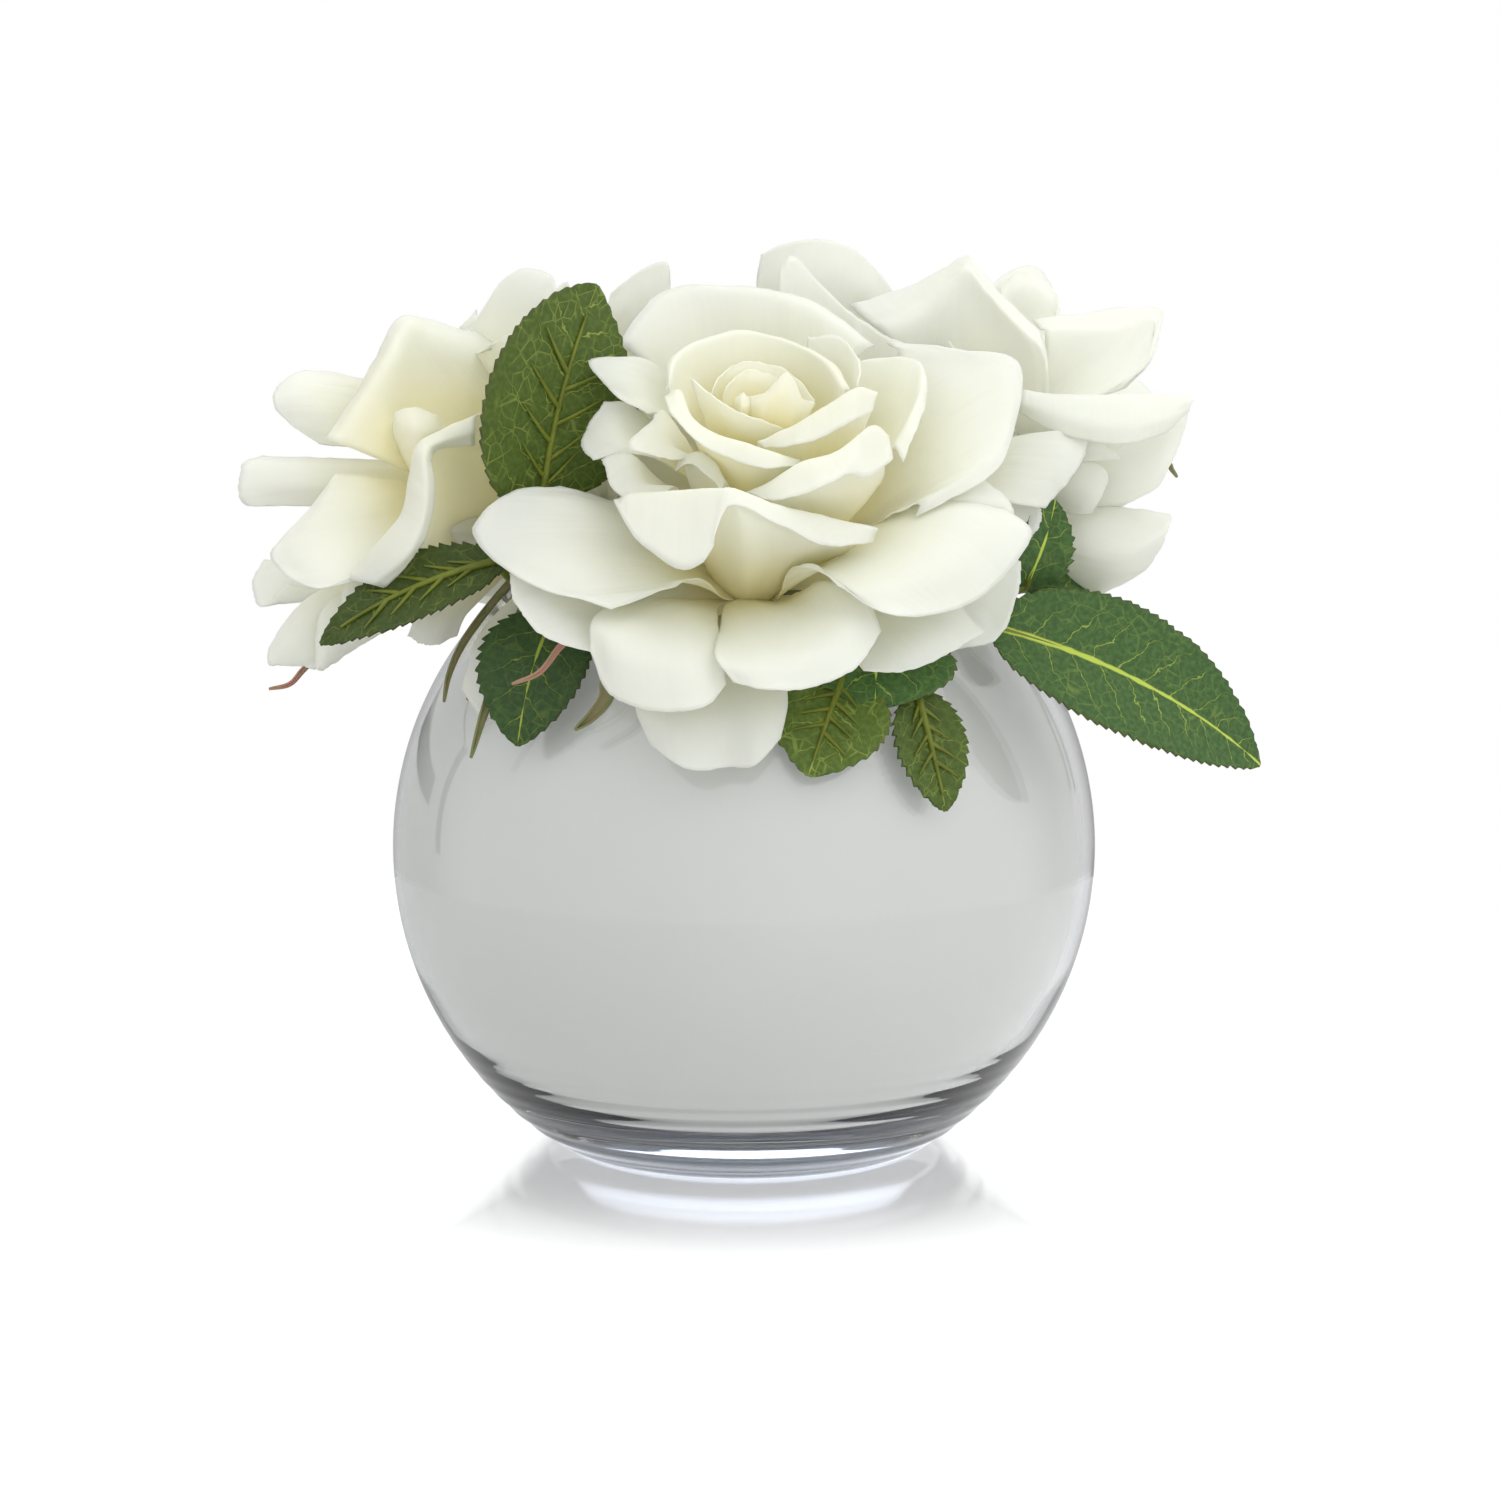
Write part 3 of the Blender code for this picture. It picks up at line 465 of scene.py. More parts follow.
# Satin silver lacquer on the inner wall: pale grey, no clear reflections, slightly uneven, with a painted
# glow of its own that lightens its shade. On the smooth floor of the hollow it lies bright as a mirror.
coatLook = dict(
    metal=0.85,
    light="#eaebe7",
    dark="#e6e7e3",
    cloud=40.0,  # how large its uneven patches are, in millimetres
    rough=0.75,
    # painted light: how strongly the walls glow of their own, and in what colour
    paintedGlow=0.17,
    paintedGlowColour="#f4f5f0",
    mirror="#f8f9f8",
    mirrorRough=0.05,
    mirrorEnd=(10.0, 14.0),  # the heights between which the mirror turns to satin
)


def makeSilverCoat(look):
    finish = {"Metallic": look["metal"], "Emission Color": look["paintedGlowColour"]}
    material, tree, shader = newFinish("satin_silver_lacquer", finish)
    place = addNode(tree, "TexCoord").outputs["Object"]
    height = addNode(tree, "SeparateXYZ", place).outputs["Z"]
    low, high = [end * mm for end in look["mirrorEnd"]]
    rough = addNode(tree, "MapRange", height, low, high, look["mirrorRough"], look["rough"], **softly)
    feed(tree, rough, shader.inputs["Roughness"])
    # painted light: above the mirror the walls glow faintly, which fills in their shade
    paintedGlow = addNode(tree, "MapRange", height, low, high, 0.0, look["paintedGlow"], **softly)
    feed(tree, paintedGlow, shader.inputs["Emission Strength"])
    cloud = addNode(tree, "TexNoise", {"Vector": place, "Scale": 1 / (look["cloud"] * mm), "Detail": 3.0})
    colour = addNode(tree, "Mix", cloud, look["dark"], look["light"], data_type="RGBA")
    satin = addNode(tree, "MapRange", height, low, high, **softly)
    colour = addNode(tree, "Mix", satin, look["mirror"], colour, data_type="RGBA")
    feed(tree, colour, shader.inputs["Base Color"])
    return material


def makeMottled(name, shade, other, rough, patch):
    # a dull finish of two near shades, in patches so many millimetres wide, with a fine relief
    material, tree, shader = newFinish(name, {"Roughness": rough, "Specular IOR Level": 0.4})
    place = addNode(tree, "TexCoord").outputs["Object"]
    cloud = addNode(tree, "TexNoise", {"Vector": place, "Scale": 1 / (patch * mm), "Detail": 3.0})
    share = addNode(tree, "MapRange", cloud, 0.35, 0.65, **softly)
    colour = addNode(tree, "Mix", share, shade, other, data_type="RGBA")
    feed(tree, colour, shader.inputs["Base Color"])
    fine = addNode(tree, "TexNoise", {"Vector": place, "Scale": 1 / (0.6 * mm), "Detail": 2.0})
    bump = addNode(tree, "Bump", {"Strength": 1.0, "Distance": 0.05 * mm, "Height": fine})
    feed(tree, bump, shader.inputs["Normal"])
    return material


# Clear soda-lime glass, blown: sharp reflections, the faintest blue in its thick foot
glassFinish = {"Base Color": "#fcfdfe", "Roughness": 0.0, "IOR": 1.5, "Transmission Weight": 1.0}
glass = newFinish("blown_soda_lime_glass", glassFinish)[0]
petalCloth = makePetalCloth(petalLook)
leafTop = makeLeafCloth("printed_polyester_leaf", leafLook["top"])
leafUnder = makeLeafCloth("printed_polyester_underside", leafLook["under"])
silverCoat = makeSilverCoat(coatLook)
# polythene moulded over wire: satin green, the ribs a yellower one
stemPlastic = makeMottled("polythene_stem", "#5d6b33", "#6f7a3c", 0.45, 6)
ribPlastic = makeMottled("polythene_rib", "#566010", "#66701c", 0.4, 5)
# stiff dyed polyester: matt and greyish, some of it blushed with red
sepalCloth = makeMottled("polyester_sepal", "#6b7345", "#7b7450", 0.55, 4)
blushCloth = makeMottled("blushed_polyester_sepal", "#a9776a", "#8c7c58", 0.55, 4)
# phenolic foam, wet: dark green and dull
foamBlock = makeMottled("wet_foam", "#3c5a3a", "#466645", 0.95, 3)
print("materials ready")


# The bowl: a blown ball with a thick foot, coated inside nearly up to its mouth
bowl = dict(
    radius=75.0,
    height=64.0,
    mouth=117.0,
    sides=128,
    foot=[(0, 0), (20, 0), (36, 0), (38.4, 0.05), (39.8, 0.5), (41.2, 1.3)],  # radius and height
    lip=[(52.7, 118.1), (52.1, 118.8), (51.3, 119.0), (50.6, 118.7), (50.3, 118.0)],
    hollowTop=116.5,
    hollowFloor=[(33.0, 7.9), (25.0, 7.4), (14.0, 6.8), (0.0, 6.5)],
    uneven=0.7,  # how far the hollow was blown off centre, to the left
    unevenStart=25.0,  # how far below the lip it is fully so
    ringDepth=0.45,  # faint rings that the mould leaves above the foot
    ringTurn=1.7,
    ringFade=8.0,
    coatGap=0.15,  # the coat stands off the glass on the walls, and is fused to it below
    coatThickness=0.2,
    coatTop=112.0,
)

# The camera sees what the photograph does: 1500 x 1500 pixels, ten degrees down, in which the
# ball is 351 pixels in radius
view = dict(size=1500, tilt=10.0, distance=1300.0, ballPixels=351, right=6, up=95)
view["focal"] = view["ballPixels"] / math.tan(math.asin(bowl["radius"] / view["distance"]))


def viewAxes():
    tilt = math.radians(view["tilt"])
    return np.array([[1, 0, 0], [0, math.sin(tilt), math.cos(tilt)], [0, math.cos(tilt), -math.sin(tilt)]])


def placeEye():
    right, up, forward = viewAxes()
    pixel = bowl["radius"] / view["ballPixels"]
    target = np.array([0, 0, bowl["height"]]) + right * view["right"] * pixel + up * view["up"] * pixel
    return target - forward * view["distance"]


view["eye"] = placeEye()


def inPicture(x, y, near):
    # the point that shows at this pixel, so far in front of the bowl's middle
    right, up, forward = viewAxes()
    half = view["size"] / 2
    ray = forward + right * (x - half) / view["focal"] + up * (half - y) / view["focal"]
    return view["eye"] + ray * (-near - view["eye"][1]) / ray[1]


# How thick the glass is: degrees below the ball's middle, and the wall in millimetres
wallThickness = [(-50, 2.0), (-30, 1.8), (0, 1.8), (20, 1.9)]
wallThickness += [(31, 2.2), (37, 2.6), (43, 3.3), (49, 4.5), (53, 6.0)]


def hollowProfile(gap, top, floorGap):
    # the inner wall from this height down to the middle of the floor
    angles, walls = zip(*wallThickness)
    middle, ball = bowl["height"], bowl["radius"]
    highest = math.degrees(math.asin((top - middle) / (ball - walls[0])))
    curve = []
    for below in np.linspace(-highest, angles[-1], 60):
        reach = ball - np.interp(below, angles, walls) - gap
        angle = math.radians(below)
        curve.append((reach * math.cos(angle), middle - reach * math.sin(angle)))
    return curve + [(radius, height + floorGap) for radius, height in bowl["hollowFloor"]]


def shiftHollow(body):
    # moves the hollow sideways: all of it below the lip, and nothing of the outer wall
    points = pointsOf(body)
    out = np.linalg.norm(points - (0, 0, bowl["height"]), axis=1)
    inner = (out < bowl["radius"] - 1.5) & (points[:, 2] > 4.0)
    start = (bowl["mouth"] + 1 - points[:, 2]) / bowl["unevenStart"]
    points[:, 0] -= bowl["uneven"] * inner * smooth(start)
    movePoints(body, points)


def easedProfile(points, count):
    line = eased([(x, 0, z) for x, z in points], count)
    return [(max(x, 0.0), z) for x, _, z in line]


def makeBowl():
    middle, ball, sides = bowl["height"], bowl["radius"], bowl["sides"]
    outside = list(bowl["foot"])
    for rise in [*np.linspace(-62.0, -40.0, 48), *np.linspace(-39.0, bowl["mouth"] - middle, 48)]:
        height = middle + rise
        ring = bowl["ringDepth"] * math.sin(height * bowl["ringTurn"]) * math.exp(-height / bowl["ringFade"])
        outside.append((math.sqrt(ball**2 - rise**2) + ring, height))
    inside = hollowProfile(0.0, bowl["hollowTop"], 0.0)
    body = makeTurned("bowl_glass", outside + bowl["lip"] + inside, sides, glass)
    shiftHollow(body)
    handIn(body, "silvered_glass", "glass_bowl")
    gap, thickness, top = bowl["coatGap"], bowl["coatThickness"], bowl["coatTop"]
    near = hollowProfile(gap, top, -0.6 * thickness)
    far = hollowProfile(gap + thickness, top, 0.4 * thickness)
    coat = makeTurned("bowl_coat", near[::-1] + far, sides, silverCoat)
    shiftHollow(coat)
    handIn(coat, "silvered_glass")


makeBowl()

# The foam keeps its solid's shape
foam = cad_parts["foam_block"]
foam.data.materials.clear()
foam.data.materials.append(foamBlock)


# Petals. In what follows s runs from 0 to 1 along a petal or a leaf, from its foot to its tip, and
# u or t runs from -1 to 1 across it.


def petal(turn, reach, height, width, rise, **more):
    # one petal in its bloom's own frame, in degrees and millimetres: where its tip ends up,
    # how wide it is, and how it leaves the core; the rest only where it differs
    shape = dict(
        turn=turn,
        reach=reach,
        height=height,
        width=width,
        rise=rise,
        hook=0.0,  # extra bend near the tip
        curl=0.0,  # how far the lip rolls out
        start=0.75,  # where the lip begins, as a share of the length
        cup=40.0,  # radius of the hollow across it
        round=0.3,  # how far the corners fall back from the tip
        taper=0.35,
        foot=None,
    )
    shape.update(more)
    return shape


def petalsAt(turns, *sizes, **more):
    # petals that differ in their direction alone
    return [petal(turn, *sizes, **more) for turn in turns]


# Each bloom's place and the way that it looks
blooms = {
    "front": ((4.3, -31.0, 122.5), (0.0, -0.53, 0.848)),
    "left": ((-43.0, 0.0, 134.0), (-0.62, -0.60, 0.50)),
    "right": ((45.0, 6.0, 144.0), (0.55, -0.60, 0.58)),
    "back_right": ((22.0, 28.0, 132.0), (0.10, 0.45, 0.88)),
    "back_left": ((-30.0, 26.0, 130.0), (-0.25, 0.45, 0.85)),
}

# The petals that the picture hides, by rule
petalRows = {
    "front": petalsAt((265, 90), 2, 46, 22, 24, cup=9, round=0.2, taper=0.5),
    "left": [
        *petalsAt((90, 270), 2, 36, 22, 24, cup=8, round=0.2, taper=0.3),
        petal(20, 30, 40, 50, 30, cup=30, curl=60, start=0.8),
        petal(55, 44, 34, 44, 34, curl=40, start=0.8),
    ],
    "right": [
        *petalsAt((90, 270), 2, 26, 22, 24, cup=8, round=0.2, taper=0.3),
        petal(220, 22, 34, 46, 28, cup=28, curl=60, start=0.8),
        petal(80, 44, 22, 30, 50, cup=50, hook=20),
        petal(30, 50, 16, 40, 56, cup=50, hook=20),
    ],
    "back_right": [
        petal(93, 3, 50, 26, 24, cup=9, round=0.2, taper=0.4),
        petal(210, 3, 49, 26, 24, cup=9, round=0.2, taper=0.4),
        petal(330, 3, 51, 26, 24, cup=9, round=0.2, taper=0.4),
        petal(255, 30, 40, 46, 30, cup=34, curl=30, start=0.85, round=0.25),
        petal(205, 28, 42, 44, 30, cup=30, curl=40, start=0.85, round=0.25),
        petal(330, 26, 40, 50, 30, cup=26, curl=60, start=0.85, round=0.25),
        *petalsAt((60, 140), 26, 46, 50, 30, cup=26, curl=60, start=0.85, round=0.25),
        petal(350, 46, 34, 50, 44, cup=46, hook=20),
        petal(40, 54, 30, 54, 44, cup=50, hook=20),
        petal(92, 58, 26, 54, 46, cup=50, hook=20),
        petal(141, 54, 30, 50, 46, cup=50, hook=20),
        *petalsAt((69, 115), 56, 12, 50, 70, cup=-60, hook=20),
    ],
    "back_left": [
        petal(90, 3, 46, 26, 24, cup=9, round=0.2, taper=0.4),
        petal(210, 3, 45, 26, 24, cup=9, round=0.2, taper=0.4),
        petal(330, 3, 47, 26, 24, cup=9, round=0.2, taper=0.4),
        petal(325, 26, 42, 44, 30, cup=30, curl=20, start=0.85, taper=0.5),
        petal(277, 22, 34, 32, 30, cup=24, curl=30, start=0.85, round=0.4, taper=0.6),
        petal(236, 22, 33, 32, 30, cup=24, curl=30, start=0.85, round=0.4, taper=0.6),
        petal(40, 26, 44, 50, 30, cup=26, curl=60, start=0.85, round=0.25),
        petal(130, 24, 37, 46, 30, cup=26, curl=60, start=0.85, round=0.25),
        petal(190, 40, 14, 42, 52, cup=46, hook=20),
        petal(145, 50, 16, 50, 52, cup=50, hook=20),
        petal(97, 58, 26.3, 54, 46, cup=50, hook=20),
        petal(45, 52, 30, 50, 46, cup=50, hook=20),
        *petalsAt((120, 165), 56, 6, 50, 76, cup=-60, hook=20, foot=2),
    ],
}

# Upright walls that each bloom stays behind: direction, and how far along it may reach
bloomWalls = {
    "front": [((-0.6, 0.8, 0.0), -12.0), ((0.55, 0.83, 0.0), 11.0), ((0.0, 1.0, 0.0), -6.0)],
    "left": [((0.6, -0.8, 0.0), 0.5), ((0.2, 0.98, 0.0), 9.0)],
    "right": [((-0.55, -0.83, 0.0), -13.5), ((-0.6, 0.8, 0.0), -6.0)],
    "back_right": [((0.0, -1.0, 0.0), 4.5), ((0.6, -0.8, 0.0), 4.5), ((-1.0, 0.1, 0.0), 3.0)],
    "back_left": [((0.0, -1.0, 0.0), 4.5), ((1.0, -0.1, 0.0), -5.0), ((-0.2, -0.98, 0.0), -11.0)],
}

# The petals that the picture shows, one by one: each is a few ribs from its left edge to its right
# one, and each rib runs from the core to the rim through points (x, y, near). x and y are the place
# in the 1500 pixel picture, and near is how far in front of the bowl's middle the point lies.
frontPetals = {
    "leftWing": [
        [(705, 550, 42), (650, 508, 42), (600, 498, 42), (560, 487, 43)],
        [(700, 560, 46), (640, 525, 48), (570, 500, 48), (505, 495, 48)],
        [(703, 572, 50), (632, 550, 56), (550, 530, 56), (474, 534, 52)],
        [(712, 585, 54), (660, 580, 66), (592, 588, 70), (528, 583, 65)],
        [(728, 600, 54), (700, 578, 64), (668, 588, 72), (612, 609, 76)],
    ],
    "rightWing": [
        [(776, 600, 54), (788, 572, 64), (812, 563, 72), (838, 585, 78)],
        [(785, 590, 54), (830, 568, 68), (860, 588, 78), (897, 616, 80)],
        [(800, 575, 52), (870, 548, 64), (930, 568, 72), (978, 599, 68)],
        [(810, 560, 48), (880, 525, 56), (960, 515, 60), (1031, 538, 58)],
        [(800, 545, 42), (875, 518, 46), (940, 495, 50), (1000, 505, 52)],
    ],
    "lowLeft": [
        [(690, 598, 48), (640, 602, 60), (596, 614, 70), (590, 650, 76)],
        [(700, 600, 50), (652, 608, 66), (614, 640, 80), (610, 693, 82)],
        [(705, 600, 50), (670, 612, 68), (652, 655, 83), (652, 711, 86)],
        [(712, 602, 50), (692, 615, 68), (690, 655, 83), (702, 708, 87)],
        [(722, 604, 50), (718, 625, 66), (722, 655, 79), (726, 684, 83)],
    ],
    "lowRight": [
        [(727, 604, 52), (720, 628, 68), (715, 655, 84), (733, 682, 88)],
        [(740, 600, 52), (742, 625, 70), (748, 660, 86), (767, 690, 90)],
        [(755, 600, 52), (775, 620, 70), (795, 655, 85), (812, 687, 88)],
        [(775, 602, 52), (810, 608, 68), (840, 632, 80), (856, 667, 84)],
        [(790, 596, 50), (828, 582, 64), (866, 598, 72), (881, 632, 76)],
    ],
    "bottom": [
        [(690, 615, 44), (650, 660, 60), (635, 702, 70), (650, 745, 76)],
        [(705, 620, 46), (675, 670, 64), (668, 715, 76), (690, 771, 81)],
        [(720, 620, 46), (712, 670, 62), (724, 715, 74), (730, 767, 78)],
        [(735, 620, 46), (748, 670, 64), (756, 715, 75), (758, 764, 79)],
        [(750, 620, 44), (778, 660, 60), (788, 700, 70), (781, 738, 75)],
    ],
    "underLeft": [
        [(690, 600, 44), (620, 588, 52), (550, 568, 58), (509, 573, 58)],
        [(700, 605, 45), (630, 608, 56), (560, 600, 63), (517, 606, 64)],
        [(705, 608, 46), (640, 625, 60), (585, 630, 68), (545, 637, 70)],
        [(712, 610, 46), (660, 635, 62), (622, 650, 71), (592, 652, 74)],
    ],
    "underRight": [
        [(790, 605, 46), (830, 628, 60), (850, 652, 68), (864, 670, 73)],
        [(800, 605, 46), (850, 622, 60), (890, 648, 68), (905, 672, 71)],
        [(805, 600, 45), (870, 605, 57), (930, 625, 64), (955, 650, 66)],
        [(810, 595, 44), (880, 590, 51), (945, 598, 56), (984, 632, 60)],
    ],
    "lowFill": [
        [(720, 588, 44), (680, 584, 49), (640, 588, 53), (612, 598, 55)],
        [(722, 600, 46), (685, 602, 52), (645, 611, 57), (614, 624, 59)],
        [(728, 612, 46), (700, 624, 53), (668, 640, 58), (642, 654, 60)],
    ],
    "farRight": [
        [(800, 590, 38), (880, 605, 44), (928, 630, 48), (948, 650, 50)],
        [(805, 585, 38), (890, 590, 42), (960, 612, 46), (996, 640, 48)],
        [(810, 575, 36), (900, 570, 40), (980, 572, 42), (1016, 600, 44)],
        [(810, 570, 34), (900, 550, 36), (980, 545, 38), (1022, 562, 40)],
    ],
    "tongue": [
        [(718, 585, 46), (694, 545, 55), (660, 508, 62), (632, 495, 66), (614, 500, 67)],
        [(724, 592, 48), (702, 550, 60), (676, 508, 69), (654, 493, 74), (636, 538, 79)],
        [(735, 598, 50), (722, 552, 66), (706, 510, 77), (692, 493, 81), (676, 568, 86)],
        [(742, 600, 51), (737, 556, 70), (729, 514, 82), (716, 491, 85), (708, 556, 89)],
        [(750, 600, 52), (750, 560, 71), (746, 520, 83), (735, 489, 86), (727, 505, 89)],
        [(758, 600, 51), (774, 562, 67), (782, 532, 77), (780, 506, 81), (778, 524, 84)],
        [(766, 600, 50), (798, 566, 62), (820, 542, 71), (830, 518, 75), (830, 546, 78)],
        [(774, 598, 48), (818, 566, 56), (855, 546, 63), (877, 529, 69), (873, 542, 70)],
    ],
    "ringLeft": [
        [(745, 560, 44), (708, 480, 53), (688, 415, 60), (680, 390, 62), (664, 396, 62)],
        [(748, 562, 46), (718, 490, 57), (700, 440, 65), (691, 417, 67), (676, 420, 69)],
        [(752, 565, 47), (732, 495, 61), (722, 455, 69), (715, 433, 71), (702, 445, 74)],
        [(758, 568, 48), (752, 500, 63), (750, 468, 72), (746, 443, 74), (735, 461, 77)],
        [(763, 568, 48), (772, 500, 63), (776, 475, 72), (775, 453, 75), (768, 468, 78)],
        [(768, 566, 47), (787, 500, 61), (797, 478, 70), (800, 462, 73), (798, 467, 75)],
    ],
    "ringRight": [
        [(760, 560, 44), (768, 500, 56), (764, 466, 65), (757, 443, 69), (763, 448, 71)],
        [(765, 560, 44), (787, 492, 58), (794, 455, 68), (794, 427, 71), (790, 446, 75)],
        [(770, 558, 43), (808, 480, 57), (822, 438, 67), (826, 406, 70), (818, 438, 75)],
        [(775, 555, 42), (832, 470, 54), (850, 425, 63), (858, 388, 67), (852, 422, 72)],
        [(778, 552, 41), (846, 465, 51), (866, 425, 59), (877, 393, 63), (873, 411, 67)],
    ],
    "ringFront": [
        [(760, 590, 48), (758, 545, 61), (752, 515, 71), (746, 493, 75), (762, 499, 79)],
        [(763, 590, 48), (773, 538, 63), (773, 508, 74), (770, 482, 77), (778, 499, 81)],
        [(768, 588, 48), (795, 528, 65), (800, 495, 75), (799, 464, 78), (806, 492, 82)],
        [(772, 585, 48), (820, 522, 64), (829, 488, 74), (829, 455, 77), (832, 482, 82)],
        [(776, 582, 47), (845, 516, 61), (856, 475, 71), (857, 437, 75), (850, 474, 80)],
        [(780, 580, 46), (858, 510, 58), (872, 465, 68), (874, 427, 72), (868, 477, 77)],
        [(782, 575, 44), (868, 500, 54), (884, 460, 63), (889, 436, 68), (892, 461, 72)],
    ],
    "innerLeft": [
        [(745, 530, 44), (712, 440, 53), (697, 402, 57), (690, 379, 58)],
        [(750, 535, 45), (726, 448, 56), (718, 416, 61), (713, 396, 62)],
        [(756, 538, 46), (742, 455, 58), (738, 428, 63), (736, 409, 64)],
        [(762, 538, 46), (760, 458, 58), (761, 438, 63), (762, 420, 65)],
        [(768, 536, 45), (776, 458, 57), (781, 442, 62), (784, 430, 64)],
    ],
    "heartPeak": [
        [(762, 480, 50), (752, 430, 57), (749, 410, 59), (750, 397, 58)],
        [(765, 480, 51), (762, 430, 60), (764, 408, 62), (767, 393, 60)],
        [(768, 480, 51), (777, 430, 61), (782, 400, 62), (787, 372, 59)],
        [(770, 480, 51), (789, 432, 61), (797, 412, 62), (802, 397, 60)],
        [(773, 480, 50), (799, 434, 58), (808, 416, 59), (815, 404, 58)],
    ],
    "heartBud": [
        [(755, 480, 50), (737, 425, 57), (734, 408, 58), (735, 399, 57)],
        [(757, 480, 51), (742, 425, 60), (741, 405, 61), (742, 392, 58)],
        [(760, 480, 51), (750, 428, 59), (751, 408, 60), (750, 396, 58)],
    ],
    "heartScroll": [
        [(755, 480, 46), (718, 420, 51), (710, 405, 53), (713, 391, 53)],
        [(757, 480, 45), (724, 412, 49), (717, 390, 50), (722, 374, 50)],
        [(760, 480, 44), (742, 405, 47), (739, 376, 48), (742, 362, 47)],
        [(764, 480, 44), (764, 405, 46), (768, 380, 47), (770, 364, 46)],
        [(768, 480, 45), (785, 410, 48), (791, 390, 50), (793, 376, 50)],
        [(772, 480, 47), (801, 425, 52), (811, 410, 54), (815, 401, 54)],
    ],
    "heartInner": [
        [(757, 480, 48), (730, 417, 53), (722, 399, 54), (724, 387, 54)],
        [(760, 480, 47), (742, 410, 51), (739, 385, 51), (744, 371, 50)],
        [(764, 480, 47), (760, 410, 51), (762, 386, 51), (765, 372, 50)],
        [(768, 480, 48), (776, 412, 53), (782, 393, 54), (783, 381, 54)],
    ],
    "backRing": [
        [(750, 530, 38), (703, 450, 47), (676, 410, 52), (669, 388, 53), (666, 392, 53)],
        [(752, 525, 37), (712, 430, 41), (688, 385, 45), (678, 358, 46), (672, 358, 45)],
        [(756, 520, 36), (733, 412, 36), (716, 372, 39), (707, 343, 39), (703, 340, 37)],
        [(762, 518, 35), (762, 402, 33), (755, 364, 35), (749, 334, 34), (748, 331, 32)],
        [(768, 520, 36), (786, 410, 35), (788, 372, 37), (787, 343, 36), (789, 340, 34)],
        [(773, 525, 37), (806, 430, 40), (818, 392, 43), (824, 363, 44), (830, 361, 42)],
        [(776, 530, 38), (820, 452, 47), (836, 416, 51), (843, 392, 53), (849, 390, 52)],
    ],
    "wrapRight": [
        [(770, 520, 33), (800, 420, 31), (806, 370, 32), (808, 336, 32)],
        [(772, 522, 34), (815, 425, 34), (832, 372, 36), (838, 337, 36)],
        [(774, 525, 35), (825, 435, 39), (848, 385, 42), (858, 358, 43)],
        [(775, 530, 36), (828, 452, 45), (850, 410, 49), (858, 385, 51)],
    ],
    "besideRing": [
        [(775, 525, 36), (822, 462, 38), (845, 410, 38), (858, 366, 37), (858, 362, 36)],
        [(777, 528, 36), (842, 445, 37), (872, 395, 37), (888, 361, 36), (889, 357, 35)],
        [(779, 532, 37), (862, 440, 40), (896, 400, 41), (916, 366, 40), (920, 362, 39)],
        [(780, 536, 38), (874, 448, 45), (903, 418, 48), (920, 390, 48), (927, 393, 47)],
        [(780, 542, 40), (872, 470, 51), (894, 440, 55), (910, 414, 57), (918, 425, 58)],
        [(778, 548, 42), (866, 492, 56), (880, 470, 60), (893, 448, 62), (903, 462, 64)],
    ],
    "rightFan": [
        [(780, 545, 36), (845, 470, 32), (882, 400, 30), (898, 356, 28), (886, 342, 26)],
        [(783, 550, 38), (858, 478, 37), (922, 402, 35), (960, 364, 32), (958, 349, 30)],
        [(785, 555, 40), (868, 492, 42), (942, 425, 42), (996, 380, 39), (1018, 362, 36)],
        [(785, 560, 42), (874, 508, 46), (948, 458, 48), (1002, 428, 46), (1015, 430, 44)],
        [(783, 566, 44), (873, 520, 50), (932, 488, 54), (975, 468, 54), (992, 474, 53)],
        [(780, 572, 46), (864, 530, 53), (892, 516, 57), (918, 505, 59), (916, 516, 60)],
    ],
    "farFan": [
        [(790, 545, 28), (900, 492, 28), (985, 445, 31), (1050, 432, 32), (1092, 434, 31)],
        [(792, 552, 30), (905, 510, 32), (990, 472, 36), (1048, 466, 36), (1078, 466, 34)],
        [(794, 560, 32), (910, 524, 36), (985, 500, 40), (1020, 505, 39), (1044, 508, 36)],
    ],
    "farLow": [
        [(792, 560, 32), (908, 522, 31), (985, 505, 33), (1035, 500, 33)],
        [(794, 565, 32), (910, 535, 33), (985, 525, 35), (1042, 520, 34)],
        [(796, 570, 33), (908, 548, 34), (975, 545, 36), (1028, 542, 35)],
    ],
    "rightNotch": [
        [(790, 560, 44), (880, 520, 50), (945, 487, 52), (984, 478, 50)],
        [(790, 565, 44), (885, 527, 51), (955, 500, 54), (1014, 509, 52)],
        [(790, 570, 44), (890, 537, 51), (955, 520, 54), (1002, 532, 53)],
    ],
    "leftFill": [
        [(748, 545, 33), (716, 465, 35), (692, 412, 37), (674, 398, 37)],
        [(745, 555, 34), (700, 490, 35), (655, 440, 35), (625, 425, 35)],
        [(745, 565, 36), (692, 515, 38), (645, 480, 40), (612, 470, 40)],
        [(745, 575, 38), (700, 545, 43), (662, 520, 45), (634, 508, 45)],
    ],
    "leftFlag": [
        [(745, 530, 34), (700, 420, 33), (672, 382, 34), (643, 360, 35), (616, 358, 35)],
        [(745, 535, 35), (700, 430, 36), (666, 396, 39), (626, 373, 40), (589, 363, 38)],
        [(746, 540, 36), (702, 440, 39), (676, 412, 43), (645, 400, 45), (611, 391, 43)],
        [(748, 545, 37), (706, 450, 42), (686, 426, 46), (668, 414, 48), (646, 413, 48)],
    ],
    "leftShade": [
        [(742, 540, 36), (704, 470, 39), (656, 424, 41), (628, 404, 41), (604, 402, 40)],
        [(742, 546, 38), (705, 480, 42), (650, 446, 45), (612, 430, 45), (581, 440, 43)],
